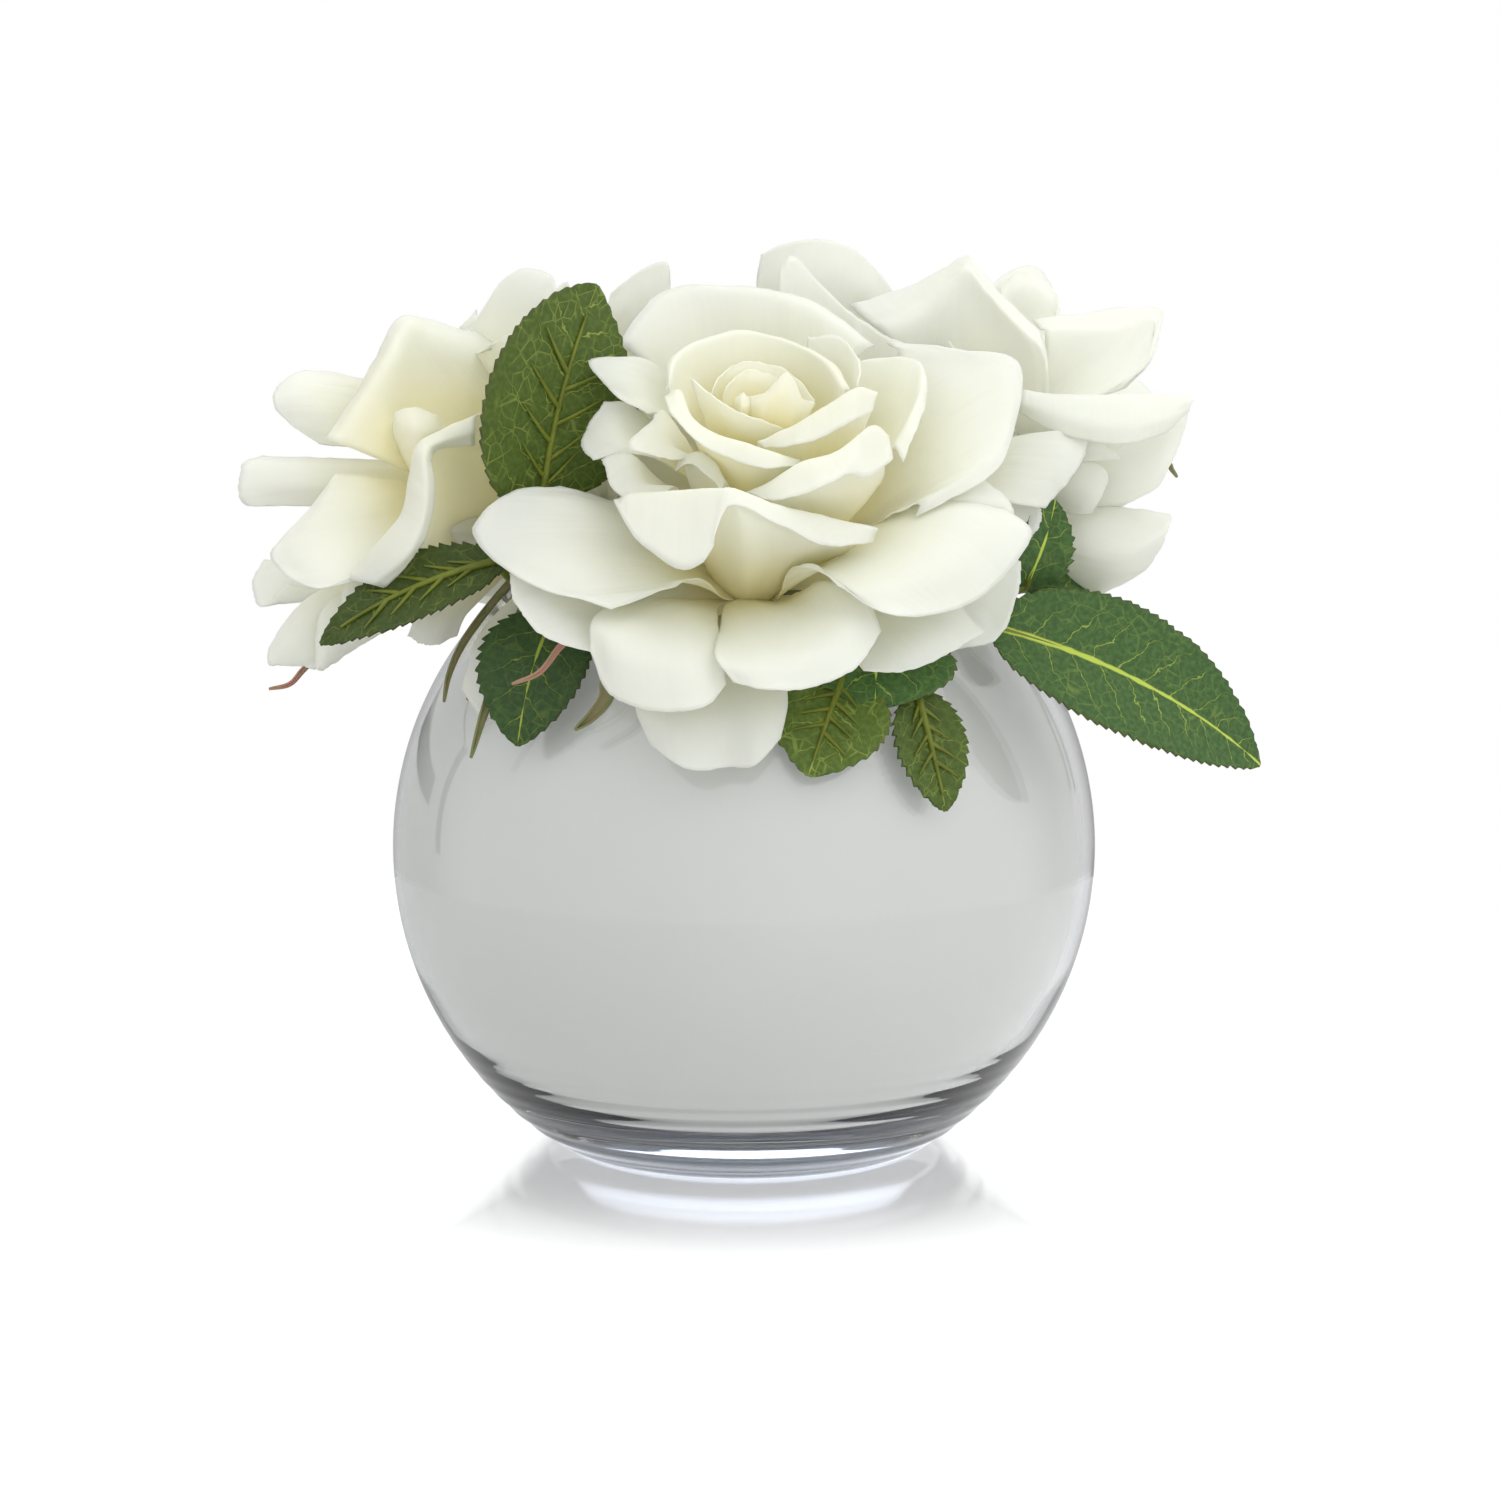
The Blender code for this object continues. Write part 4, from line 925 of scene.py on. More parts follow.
        [(744, 552, 40), (708, 492, 45), (662, 464, 49), (628, 454, 50), (592, 460, 48)],
    ],
    "leftFold": [
        [(748, 550, 40), (714, 500, 47), (692, 450, 52), (664, 412, 53), (654, 419, 55)],
        [(748, 554, 42), (716, 506, 50), (692, 468, 56), (668, 442, 58), (629, 446, 59)],
        [(750, 558, 43), (719, 512, 53), (706, 484, 60), (698, 458, 61), (676, 460, 64)],
    ],
    "leftCup": [
        [(735, 570, 42), (712, 530, 46), (668, 490, 49), (632, 452, 49), (602, 460, 49)],
        [(737, 574, 43), (714, 540, 49), (674, 506, 55), (642, 482, 57), (618, 495, 57)],
        [(740, 578, 44), (719, 546, 52), (692, 516, 59), (676, 488, 61), (664, 494, 62)],
    ],
    "leftLip": [
        [(745, 575, 45), (718, 530, 53), (693, 495, 58), (681, 462, 60), (675, 470, 61)],
        [(748, 578, 46), (725, 532, 56), (708, 490, 63), (698, 453, 64), (690, 464, 67)],
        [(750, 580, 47), (733, 536, 58), (721, 498, 66), (714, 462, 67), (706, 474, 70)],
        [(752, 580, 47), (742, 540, 59), (732, 510, 68), (727, 484, 70), (722, 490, 72)],
    ],
    "backWide": [
        [(745, 520, 30), (698, 430, 28), (655, 375, 27), (628, 348, 27), (615, 346, 25)],
        [(748, 515, 28), (714, 410, 24), (682, 345, 22), (660, 306, 20), (650, 300, 17)],
        [(752, 512, 26), (730, 400, 21), (707, 335, 19), (690, 293, 17), (684, 286, 14)],
        [(758, 510, 25), (748, 395, 19), (736, 330, 18), (728, 294, 16), (727, 287, 13)],
        [(766, 512, 26), (768, 395, 19), (769, 335, 18), (768, 298, 16), (768, 290, 13)],
        [(774, 515, 28), (790, 400, 22), (803, 345, 21), (812, 312, 20), (816, 303, 17)],
        [(780, 520, 30), (812, 420, 27), (842, 375, 27), (865, 350, 26), (874, 346, 24)],
    ],
    "peak": [
        [(765, 510, 18), (772, 400, 13), (776, 330, 11), (780, 268, 9)],
        [(770, 510, 18), (790, 400, 12), (798, 330, 10), (794, 256, 8)],
        [(775, 512, 18), (812, 402, 13), (828, 340, 11), (826, 290, 9)],
        [(780, 514, 19), (832, 410, 15), (858, 360, 14), (868, 325, 13)],
        [(785, 518, 20), (850, 425, 19), (885, 380, 19), (905, 345, 19)],
    ],
}

leftPetals = {
    "bellBack": [
        [(540, 440, 2), (532, 375, 0), (520, 344, -2), (524, 336, -9)],
        [(505, 440, 6), (490, 380, 6), (480, 349, 5), (490, 335, -3)],
        [(480, 440, 10), (455, 378, 10), (440, 339, 9), (457, 329, 1)],
        [(465, 445, 12), (430, 385, 13), (411, 328, 12), (402, 317, 6)],
        [(455, 455, 15), (412, 400, 19), (389, 362, 20), (373, 366, 14)],
        [(445, 470, 18), (395, 430, 25), (360, 408, 27), (346, 407, 21)],
        [(440, 485, 20), (385, 462, 28), (340, 444, 31), (326, 440, 28)],
    ],
    "apron": [
        [(450, 490, 16), (385, 478, 25), (340, 474, 30), (331, 479, 29)],
        [(445, 500, 18), (380, 498, 29), (328, 506, 33), (303, 518, 31)],
        [(445, 510, 20), (375, 525, 32), (315, 538, 36), (271, 553, 33)],
        [(450, 520, 22), (385, 548, 35), (325, 566, 40), (289, 578, 39)],
        [(455, 530, 24), (400, 562, 37), (345, 581, 42), (320, 589, 43)],
        [(462, 538, 26), (412, 568, 39), (370, 577, 43), (349, 577, 44)],
    ],
    "flap": [
        [(523, 480, 18), (500, 440, 28), (477, 412, 34), (475, 430, 39), (475, 446, 38)],
        [(510, 490, 20), (475, 450, 32), (448, 427, 38), (444, 440, 43), (441, 449, 41)],
        [(505, 495, 21), (450, 465, 36), (419, 447, 42), (424, 452, 47), (431, 458, 46)],
        [(500, 505, 22), (440, 490, 38), (409, 485, 44), (424, 486, 49), (434, 486, 47)],
        [(495, 515, 22), (435, 520, 38), (400, 517, 44), (420, 522, 50), (430, 524, 48)],
        [(490, 525, 22), (425, 550, 38), (375, 546, 44), (400, 558, 50), (412, 557, 48)],
        [(485, 535, 20), (420, 570, 36), (351, 577, 42), (368, 584, 47), (384, 588, 46)],
    ],
    "nub": [
        [(470, 500, 12), (420, 480, 20), (394, 445, 24), (391, 426, 24)],
        [(470, 500, 15), (416, 475, 27), (400, 435, 31), (398, 412, 29)],
        [(470, 500, 17), (420, 472, 31), (417, 435, 35), (417, 408, 31)],
        [(470, 500, 15), (430, 465, 29), (435, 435, 32), (435, 417, 28)],
        [(472, 498, 12), (441, 465, 22), (446, 440, 25), (443, 430, 23)],
    ],
    "farTop": [
        [(470, 440, -2), (400, 390, 0), (340, 374, 2), (306, 371, 1)],
        [(465, 460, 0), (390, 405, 3), (320, 387, 7), (281, 383, 5)],
        [(460, 475, 2), (385, 420, 6), (315, 405, 10), (273, 402, 8)],
        [(455, 490, 4), (380, 435, 8), (330, 430, 11), (288, 422, 9)],
        [(455, 500, 6), (390, 450, 9), (345, 446, 10), (319, 443, 9)],
    ],
    "farMiddle": [
        [(455, 480, 4), (400, 462, 8), (330, 458, 9), (262, 457, 6)],
        [(450, 490, 6), (395, 471, 11), (320, 469, 13), (244, 463, 10)],
        [(450, 500, 8), (390, 486, 13), (320, 487, 15), (238, 485, 12)],
        [(450, 508, 8), (390, 500, 12), (330, 501, 13), (247, 505, 12)],
        [(450, 515, 8), (395, 509, 11), (340, 507, 12), (284, 503, 12)],
    ],
    "farLow": [
        [(440, 540, 6), (380, 555, 12), (320, 558, 16), (264, 560, 15)],
        [(440, 545, 7), (380, 566, 15), (310, 581, 19), (251, 583, 17)],
        [(440, 552, 8), (382, 577, 16), (318, 598, 20), (262, 607, 19)],
        [(440, 560, 9), (390, 582, 17), (335, 592, 21), (286, 584, 21)],
    ],
    "hangLeft": [
        [(450, 555, 12), (380, 572, 20), (320, 590, 24), (285, 622, 25), (269, 648, 24)],
        [(450, 565, 13), (380, 590, 23), (325, 612, 27), (292, 642, 28), (269, 664, 25)],
        [(450, 575, 13), (385, 607, 23), (338, 632, 27), (312, 655, 27), (290, 667, 25)],
        [(455, 585, 12), (392, 617, 21), (352, 640, 24), (332, 655, 24), (315, 668, 22)],
    ],
    "hangRight": [
        [(450, 560, 18), (385, 580, 27), (347, 588, 31), (322, 610, 32), (314, 642, 30)],
        [(450, 570, 18), (390, 596, 28), (356, 612, 32), (332, 637, 33), (318, 669, 30)],
        [(455, 580, 17), (400, 607, 27), (371, 622, 31), (351, 641, 31), (335, 662, 28)],
        [(460, 590, 15), (410, 617, 24), (391, 627, 27), (371, 640, 27), (353, 650, 25)],
    ],
    "underBell": [
        [(460, 550, 22), (405, 565, 33), (367, 576, 37), (345, 584, 38), (341, 610, 37)],
        [(460, 556, 22), (410, 571, 33), (380, 583, 38), (362, 597, 39), (352, 614, 37)],
        [(465, 562, 22), (420, 577, 32), (397, 588, 36), (382, 600, 37), (367, 610, 35)],
        [(470, 568, 20), (430, 582, 29), (412, 592, 33), (402, 600, 33), (391, 606, 31)],
    ],
    "sideBell": [
        [(520, 520, 16), (480, 512, 26), (450, 511, 32), (434, 514, 34)],
        [(520, 530, 16), (485, 530, 27), (457, 530, 33), (430, 529, 35)],
        [(525, 540, 14), (496, 546, 22), (475, 546, 28), (450, 541, 31)],
    ],
    "veil": [
        [(560, 560, 10), (510, 600, 30), (476, 640, 42), (462, 690, 45)],
        [(565, 565, 10), (520, 610, 32), (490, 652, 45), (481, 716, 49)],
        [(570, 570, 10), (530, 620, 32), (508, 662, 46), (506, 724, 50)],
    ],
    "lowTip": [
        [(500, 560, 10), (450, 590, 20), (420, 612, 25), (407, 636, 25)],
        [(505, 565, 10), (460, 600, 21), (440, 624, 26), (430, 646, 26)],
        [(510, 570, 10), (475, 605, 19), (462, 621, 23), (456, 636, 23)],
    ],
}

rightPetals = {
    "wingLeft": [
        [(940, 440, -2), (905, 378, 3), (885, 335, 5), (868, 322, 0), (850, 305, -5)],
        [(948, 430, -2), (930, 362, 3), (925, 317, 5), (910, 305, 0), (892, 292, -5)],
        [(955, 425, -2), (950, 350, 3), (950, 290, 5), (943, 283, 1), (932, 276, -4)],
        [(962, 420, -3), (966, 340, 3), (966, 275, 5), (966, 264, 2), (966, 256, -1)],
        [(975, 420, -2), (990, 350, 5), (989, 300, 8), (984, 285, 6), (979, 268, 3)],
        [(990, 425, 2), (1015, 370, 9), (1017, 330, 12), (1010, 315, 10), (1004, 297, 6)],
        [(1005, 435, 6), (1034, 390, 13), (1040, 355, 15), (1040, 343, 14), (1037, 331, 10)],
        [(1010, 447, 8), (1040, 415, 14), (1048, 390, 16), (1047, 362, 15), (1044, 336, 13)],
    ],
    "bump": [
        [(960, 420, -12), (985, 340, -12), (998, 305, -12), (1000, 287, -14)],
        [(965, 420, -13), (1000, 335, -14), (1017, 292, -14), (1021, 272, -16)],
        [(970, 420, -13), (1015, 335, -14), (1038, 297, -14), (1045, 281, -16)],
        [(975, 425, -12), (1025, 345, -12), (1050, 317, -12), (1058, 299, -13)],
        [(980, 430, -10), (1030, 355, -9), (1052, 337, -9), (1056, 319, -10)],
    ],
    "wingTop": [
        [(1000, 430, 4), (1040, 385, 9), (1045, 333, 10), (1040, 328, 6), (1032, 320, 1)],
        [(1005, 430, 4), (1056, 380, 9), (1073, 332, 10), (1070, 324, 6), (1062, 315, 1)],
        [(1010, 430, 5), (1071, 375, 10), (1102, 333, 11), (1100, 323, 7), (1096, 312, 2)],
        [(1015, 430, 6), (1086, 375, 12), (1132, 331, 13), (1132, 320, 10), (1130, 308, 5)],
        [(1018, 432, 8), (1096, 380, 15), (1147, 326, 15), (1153, 317, 13), (1158, 309, 9)],
        [(1018, 435, 10), (1100, 386, 18), (1145, 348, 18), (1154, 332, 17), (1162, 315, 14)],
        [(1018, 437, 12), (1100, 393, 21), (1135, 374, 22), (1146, 366, 22), (1153, 357, 21)],
        [(1016, 440, 12), (1085, 401, 21), (1112, 393, 22), (1120, 390, 22), (1127, 387, 22)],
    ],
    "frontLip": [
        [(985, 450, 8), (1008, 412, 18), (1021, 392, 22), (1020, 400, 26), (1017, 411, 26)],
        [(990, 450, 8), (1030, 415, 20), (1055, 394, 26), (1054, 412, 31), (1049, 429, 31)],
        [(995, 450, 8), (1050, 420, 21), (1090, 395, 28), (1091, 420, 34), (1088, 440, 34)],
        [(1000, 452, 8), (1070, 425, 22), (1125, 395, 29), (1127, 422, 35), (1126, 444, 35)],
        [(1005, 455, 8), (1090, 435, 22), (1157, 395, 28), (1158, 418, 34), (1154, 438, 33)],
        [(1008, 458, 8), (1100, 445, 21), (1179, 397, 26), (1177, 413, 31), (1173, 428, 30)],
        [(1010, 462, 8), (1105, 455, 20), (1188, 402, 24), (1190, 406, 27), (1190, 412, 26)],
    ],
    "keel": [
        [(990, 465, 4), (1050, 460, 12), (1110, 440, 18), (1160, 418, 20), (1190, 408, 20)],
        [(990, 470, 4), (1060, 475, 12), (1120, 466, 19), (1160, 452, 21), (1181, 440, 20)],
        [(990, 475, 4), (1060, 488, 11), (1115, 488, 18), (1150, 477, 20), (1168, 470, 19)],
        [(990, 482, 3), (1055, 500, 9), (1105, 503, 15), (1133, 498, 17), (1152, 490, 17)],
        [(990, 488, 2), (1045, 507, 7), (1085, 509, 12), (1107, 506, 14), (1124, 506, 14)],
    ],
    "underLipLow": [
        [(985, 480, 12), (1030, 468, 20), (1060, 464, 24), (1078, 462, 26), (1091, 461, 26)],
        [(985, 485, 12), (1030, 484, 20), (1065, 485, 25), (1090, 482, 27), (1108, 474, 27)],
        [(985, 490, 11), (1030, 496, 18), (1065, 502, 23), (1088, 501, 25), (1103, 495, 25)],
        [(985, 495, 10), (1025, 503, 16), (1055, 510, 20), (1075, 514, 22), (1092, 514, 22)],
    ],
    "underLipHigh": [
        [(1000, 455, 14), (1040, 443, 22), (1070, 437, 27), (1087, 437, 29)],
        [(1000, 462, 14), (1040, 455, 22), (1080, 449, 28), (1106, 445, 30)],
        [(1000, 468, 14), (1042, 464, 22), (1084, 460, 27), (1121, 460, 28)],
    ],
    "low": [
        [(985, 500, 4), (1040, 512, 10), (1090, 506, 14), (1135, 508, 16), (1171, 514, 16)],
        [(985, 505, 6), (1040, 522, 13), (1085, 521, 19), (1130, 524, 21), (1170, 521, 20)],
        [(985, 510, 8), (1035, 535, 15), (1080, 546, 22), (1128, 549, 25), (1168, 532, 23)],
        [(985, 515, 8), (1030, 548, 14), (1070, 566, 20), (1115, 570, 23), (1159, 551, 21)],
        [(985, 520, 6), (1025, 558, 12), (1060, 583, 16), (1100, 588, 18), (1142, 573, 18)],
        [(985, 525, 4), (1020, 565, 9), (1045, 583, 12), (1075, 598, 14), (1102, 595, 14)],
    ],
}

backRightPetals = {
    "crown": [
        [(820, 440, -20), (772, 340, -16), (757, 290, -14), (761, 254, -14)],
        [(830, 440, -20), (792, 335, -15), (785, 285, -13), (786, 243, -14)],
        [(840, 440, -20), (814, 330, -15), (815, 280, -13), (816, 239, -15)],
        [(850, 440, -20), (840, 335, -15), (848, 285, -14), (852, 249, -16)],
        [(855, 445, -20), (860, 345, -16), (870, 300, -15), (875, 269, -17)],
        [(860, 450, -20), (877, 360, -16), (888, 322, -16), (894, 292, -17)],
    ],
}

backLeftPetals = {
    "sail": [
        [(610, 440, -18), (605, 360, -10), (604, 325, -8), (611, 294, -9)],
        [(615, 440, -18), (622, 355, -9), (628, 312, -7), (640, 271, -9)],
        [(620, 440, -18), (640, 350, -9), (652, 308, -8), (666, 262, -10)],
        [(625, 440, -18), (655, 350, -10), (668, 310, -9), (670, 285, -11)],
    ],
    "tipHigh": [
        [(590, 430, -16), (560, 350, -12), (544, 325, -11), (547, 300, -11)],
        [(592, 430, -16), (565, 345, -11), (556, 310, -10), (566, 281, -12)],
        [(595, 430, -16), (573, 345, -12), (569, 320, -11), (571, 297, -12)],
    ],
    "tipLow": [
        [(560, 430, -18), (500, 370, -14), (468, 338, -12), (460, 328, -12)],
        [(562, 430, -18), (505, 365, -13), (478, 326, -11), (476, 310, -13)],
        [(565, 430, -18), (511, 365, -14), (489, 333, -12), (476, 323, -12)],
    ],
    "tipShade": [
        [(560, 435, -14), (500, 375, -8), (475, 345, -6), (466, 330, -7)],
        [(562, 435, -14), (510, 370, -7), (490, 340, -5), (486, 324, -8)],
        [(565, 435, -14), (522, 370, -8), (510, 347, -6), (511, 334, -7)],
    ],
}

shownPetals = {
    "front": frontPetals,
    "left": leftPetals,
    "right": rightPetals,
    "back_right": backRightPetals,
    "back_left": backLeftPetals,
}

# How the cloth was pressed and cut, in millimetres
press = dict(
    thickness=0.3,
    swell=1.7,
    crease=0.35,
    flutter=2.1,
    fray=0.45,
    steps=(34, 40),  # how many steps a petal has across and along
    smallSteps=(20, 28),
    smallWidth=34,
    patternStep=3.7,  # keeps one petal's waves off the next one's
    claw=0.25,  # how narrow a petal is at its foot
    belly=0.6,  # where it is widest
    root=(3.0, 8.5),  # how far out the first petal starts, and how much further the last one does
    foot=(8.0, 5.0),  # how high the first petal starts, and how much lower the last one does
)

# How yellow each bloom is by its core, partly its own colour and partly painted warm shade
coreWarmth = {"front": 0.9, "left": 0.78, "right": 0.15, "back_right": 0.4, "back_left": 0.5}

# How the cream spreads; deep in the bloom it is partly painted warm shade
cream = dict(
    reach=26.0,  # how far from the core, in millimetres
    near=0.55,  # how strong it is close to the core
    deep=1.0,  # how strong it is at a petal's foot
    fall=1.25,  # how fast it fades from there to the tip
    both=0.18,  # how much more there is where both meet
)

# How far each bloom's petals stay off the glass
glassRoom = {"front": 6.0, "left": 3.0, "right": 3.0, "back_right": 5.0, "back_left": 3.0}


def arcThrough(shape, s):
    # the bending and the length that bring the middle of a petal to its tip
    out = shape["reach"] - shape["root"]
    up = shape["height"] - shape["foot"]
    wanted = math.atan2(out, up)
    share = smooth(s / 0.8)
    start = math.radians(shape["rise"]) * (1 - share) + math.radians(shape["hook"]) * s**3
    low, high = -2.5, 4.2
    for halving in range(40):
        spread = (low + high) / 2
        angle = start + spread * share
        if math.atan2(np.sin(angle).sum(), np.cos(angle).sum()) > wanted:
            high = spread
        else:
            low = spread
    span = math.hypot(np.sin(angle).mean(), np.cos(angle).mean())
    return angle, math.hypot(out, up) / span


def frayed(random, count):
    # an uneven cut: fine steps from thread to thread, on top of slower ones
    fine = random.uniform(-0.5, 0.5, count)
    knots = np.arange(0, count + 4, 4)
    slow = np.interp(np.arange(count), knots, random.uniform(-0.5, 0.5, len(knots)))
    return press["fray"] * (0.6 * fine + 1.2 * slow)


def petalSheet(shape, across, along, random):
    # the middle surface of a petal, with its measures on the flat cloth
    fine = 120
    s = np.linspace(0.0, 1.0, fine + 1)[None, :]
    u = np.linspace(-1.0, 1.0, across + 1)[:, None]
    body, full = arcThrough(shape, s)
    ragged = frayed(random, across + 1)[:, None] / full
    length = full * (1.0 - shape["round"] * np.abs(u) ** 2.2) * (1.0 + ragged)
    lip = full * (1.0 - shape["start"])
    angle = body + np.radians(shape["curl"]) * smooth((s * length - full * shape["start"]) / lip)
    step = length / fine
    out = shape["root"] + np.cumsum(np.sin(angle) * step, axis=1) - np.sin(angle) * step
    up = shape["foot"] + np.cumsum(np.cos(angle) * step, axis=1) - np.cos(angle) * step
    claw, belly = press["claw"], press["belly"]
    widening = np.sin(np.pi / 2 * np.clip(s / belly, 0.0, 1.0))
    narrowing = np.clip((s - belly) / (1.0 - belly), 0.0, 1.0) ** 2
    half = shape["width"] / 2 * (claw + (1 - claw) * widening) * (1 - shape["taper"] * narrowing)
    # it hugs the core at its foot, and has its own hollow further up
    hug = smooth(s / 0.55)
    hollow = (1.0 - hug) / np.maximum(out, 3.0) + hug / shape["cup"]
    side = np.sin(u * half * hollow) / hollow
    lift = (1.0 - np.cos(u * half * hollow)) / hollow
    out = out - lift * np.cos(angle)
    up = up + lift * np.sin(angle)
    turn = math.radians(shape["turn"])
    x = out * math.cos(turn) - side * math.sin(turn)
    y = out * math.sin(turn) + side * math.cos(turn)
    grid = np.stack([x, y, up], axis=-1)
    picked = np.round(np.linspace(0, fine, along + 1)).astype(int)
    flat = np.stack([u * half, s * length, 0 * u * s], axis=-1)
    return [field[:, picked] for field in (grid, flat, *petalMasks(u, s))]


def ribbedSheet(ribs, root, number, random):
    # a petal through its ribs, with its measures along its own threads
    across, along = press["steps"]
    count = len(ribs)
    lines = []
    for k, rib in enumerate(ribs):
        foot = root + np.array([(k / (count - 1) - 0.5) * 4.0, 0.0, 0.0])
        lines.append(eased([foot] + [inPicture(*point) for point in rib], along // len(rib)))
    lines = np.array(lines)
    each = round(across / (count - 1))
    grid = np.array([eased(lines[:, k], each) for k in range(lines.shape[1])]).transpose(1, 0, 2)
    # the rim is cut unevenly: its last rows stretch or shrink with it
    ragged = frayed(random, grid.shape[0])[:, None]
    ahead = grid[:, -1] - grid[:, -3]
    ahead /= np.linalg.norm(ahead, axis=1, keepdims=True)
    for back, share in ((1, 1.0), (2, 0.55), (3, 0.2)):
        grid[:, -back] += ahead * ragged * share
    long = np.linalg.norm(np.diff(grid, axis=1), axis=2).cumsum(axis=1)
    long = np.concatenate([np.zeros((grid.shape[0], 1)), long], axis=1)
    wide = np.linalg.norm(np.diff(grid, axis=0), axis=2).cumsum(axis=0)
    wide = np.concatenate([np.zeros((1, grid.shape[1])), wide], axis=0)
    wide -= wide[-1] / 2
    u = np.linspace(-1.0, 1.0, grid.shape[0])[:, None]
    s = np.linspace(0.0, 1.0, grid.shape[1])[None, :]
    return grid, np.stack([wide, long, 0 * long + number], axis=-1), *petalMasks(u, s)


def petalMasks(u, s):
    # where the rim is, where the cloth is free of the core, and how deep in the bloom a point lies
    edge = np.maximum(np.abs(u) ** 5 * smooth(s / 0.5), s**7 * np.ones_like(u))
    free = smooth((s - 0.12) / 0.4) * np.ones_like(u)
    return edge, free, (1.0 - s) * np.ones_like(u)


def behindWalls(points, walls, soft=2.0):
    # bends points back so that they stay on the near side of each wall
    for direction, limit in walls:
        direction = np.array(direction) / np.linalg.norm(direction)
        past = points @ direction - limit
        held = -soft * np.logaddexp(0.0, -past / soft)
        points = points + (held - past)[..., None] * direction
    return points


def offTheBall(points, room):
    # bends points out of the glass, but leaves those over the mouth alone
    centre = np.array([0.0, 0.0, bowl["height"]])
    ray = points - centre
    far = np.linalg.norm(ray, axis=-1, keepdims=True)
    lean = np.degrees(np.arctan2(np.hypot(ray[..., :1], ray[..., 1:2]), ray[..., 2:]))
    least = (bowl["radius"] + room) * smooth((lean - 35.0) / 6.0)
    pushed = least + np.logaddexp(0.0, far - least)
    return centre + ray / far * np.where(least > 1.0, pushed, far)


def gridFaces(rows, columns, first):
    # quads over a grid of points whose second index runs fastest
    i, j = np.meshgrid(np.arange(rows - 1), np.arange(columns - 1), indexing="ij")
    a = (first + i * columns + j).ravel()
    return np.stack([a, a + columns, a + columns + 1, a + 1], axis=1).tolist()


def putField(body, name, values):
    kind = "FLOAT_VECTOR" if values.ndim == 2 else "FLOAT"
    field = body.data.attributes.new(name, kind, "POINT")
    field.data.foreach_set("vector" if values.ndim == 2 else "value", values.ravel())


def thicken(body, thickness, otherSide=0):
    solid = body.modifiers.new("thickness", "SOLIDIFY")
    solid.thickness = thickness * mm
    solid.offset = 0.0
    solid.material_offset = otherSide
    return settle(body)


def makePetals(bloom):
    base, axis = blooms[bloom]
    base, axes = np.array(base), axisFrame(axis)
    random = np.random.default_rng(len(bloom) + int(base[0]) + 100)
    rows = petalRows[bloom]
    sheets = []
    for index, row in enumerate(rows):
        start, further = press["root"]
        shape = dict(row, root=start + further * index / len(rows))
        if shape["foot"] is None:
            start, lower = press["foot"]
            shape["foot"] = start - lower * index / len(rows)
        steps = press["smallSteps"] if shape["width"] < press["smallWidth"] else press["steps"]
        sheet = petalSheet(shape, *steps, random)
        sheet[0] = behindWalls(sheet[0] @ axes + base, bloomWalls[bloom])
        sheet[0] = offTheBall(sheet[0], glassRoom[bloom])
        sheet[1][..., 2] = index * press["patternStep"]
        sheets.append(sheet)
    for index, ribs in enumerate(shownPetals[bloom].values()):
        sheets.append(ribbedSheet(ribs, base, 60 + index * press["patternStep"], random))
    fields = {name: [] for name in ("place", "cloth", "rim", "free", "warmth")}
    faces, first = [], 0
    for place, cloth, rim, free, depth in sheets:
        local = (place - base) @ axes.T
        warmth = coreWarmth[bloom] * petalWarmth(np.hypot(local[..., 0], local[..., 1]), depth)
        faces += gridFaces(*place.shape[:2], first)
        first += place.shape[0] * place.shape[1]
        for name, field in zip(fields, (place, cloth, rim, free, warmth)):
            fields[name].append(field.reshape(-1, 3) if field.ndim == 3 else field.ravel())
    fields = {name: np.concatenate(store) for name, store in fields.items()}
    body = newBody(f"{bloom}_petals", fields.pop("place"), faces=faces)
    for name, field in fields.items():
        putField(body, name, field)
    waves = dict(Swell=press["swell"] * mm, Crease=press["crease"] * mm, Flutter=press["flutter"] * mm)
    runTree(body, pressTree, **waves, Seed=float(len(rows)), Finish=petalCloth)
    thicken(body, press["thickness"])
    handIn(body, "petal", f"{bloom}_rose")


def petalWarmth(radius, depth):
    # white lips, then cream and deep yellow towards the core and down at each petal's foot, partly the
    # cloth's own colour and partly painted warm shade
    near = np.exp(-((radius / cream["reach"]) ** 2))
    # partly painted warm shade: the yellow grows towards each petal's foot
    deepYellowAndShade = cream["deep"] * depth ** cream["fall"]
    both = cream["both"] * near * depth
    return np.clip(cream["near"] * near + deepYellowAndShade + both, 0.0, 1.0)


for bloomName in blooms:
    makePetals(bloomName)


# Leaves


def leaf(base, tip, facing, width, **more):
    # one leaf in millimetres, in the part's frame; facing is the side that it turns to the room
    shape = dict(
        base=base,
        tip=tip,
        facing=facing,
        width=width,
        arch=4.0,  # how far the midrib bows towards the room
        sweep=0.0,  # and sideways
        fold=10.0,  # degrees that each half rises
        offBall=0.0,
        seen="top",  # which side faces the room
        bold=0.55,  # how wide its printed midrib is
        tone=1.0,  # painted light and shade: how much lighter or darker the leaf is painted
    )
    shape.update(more)
    return shape


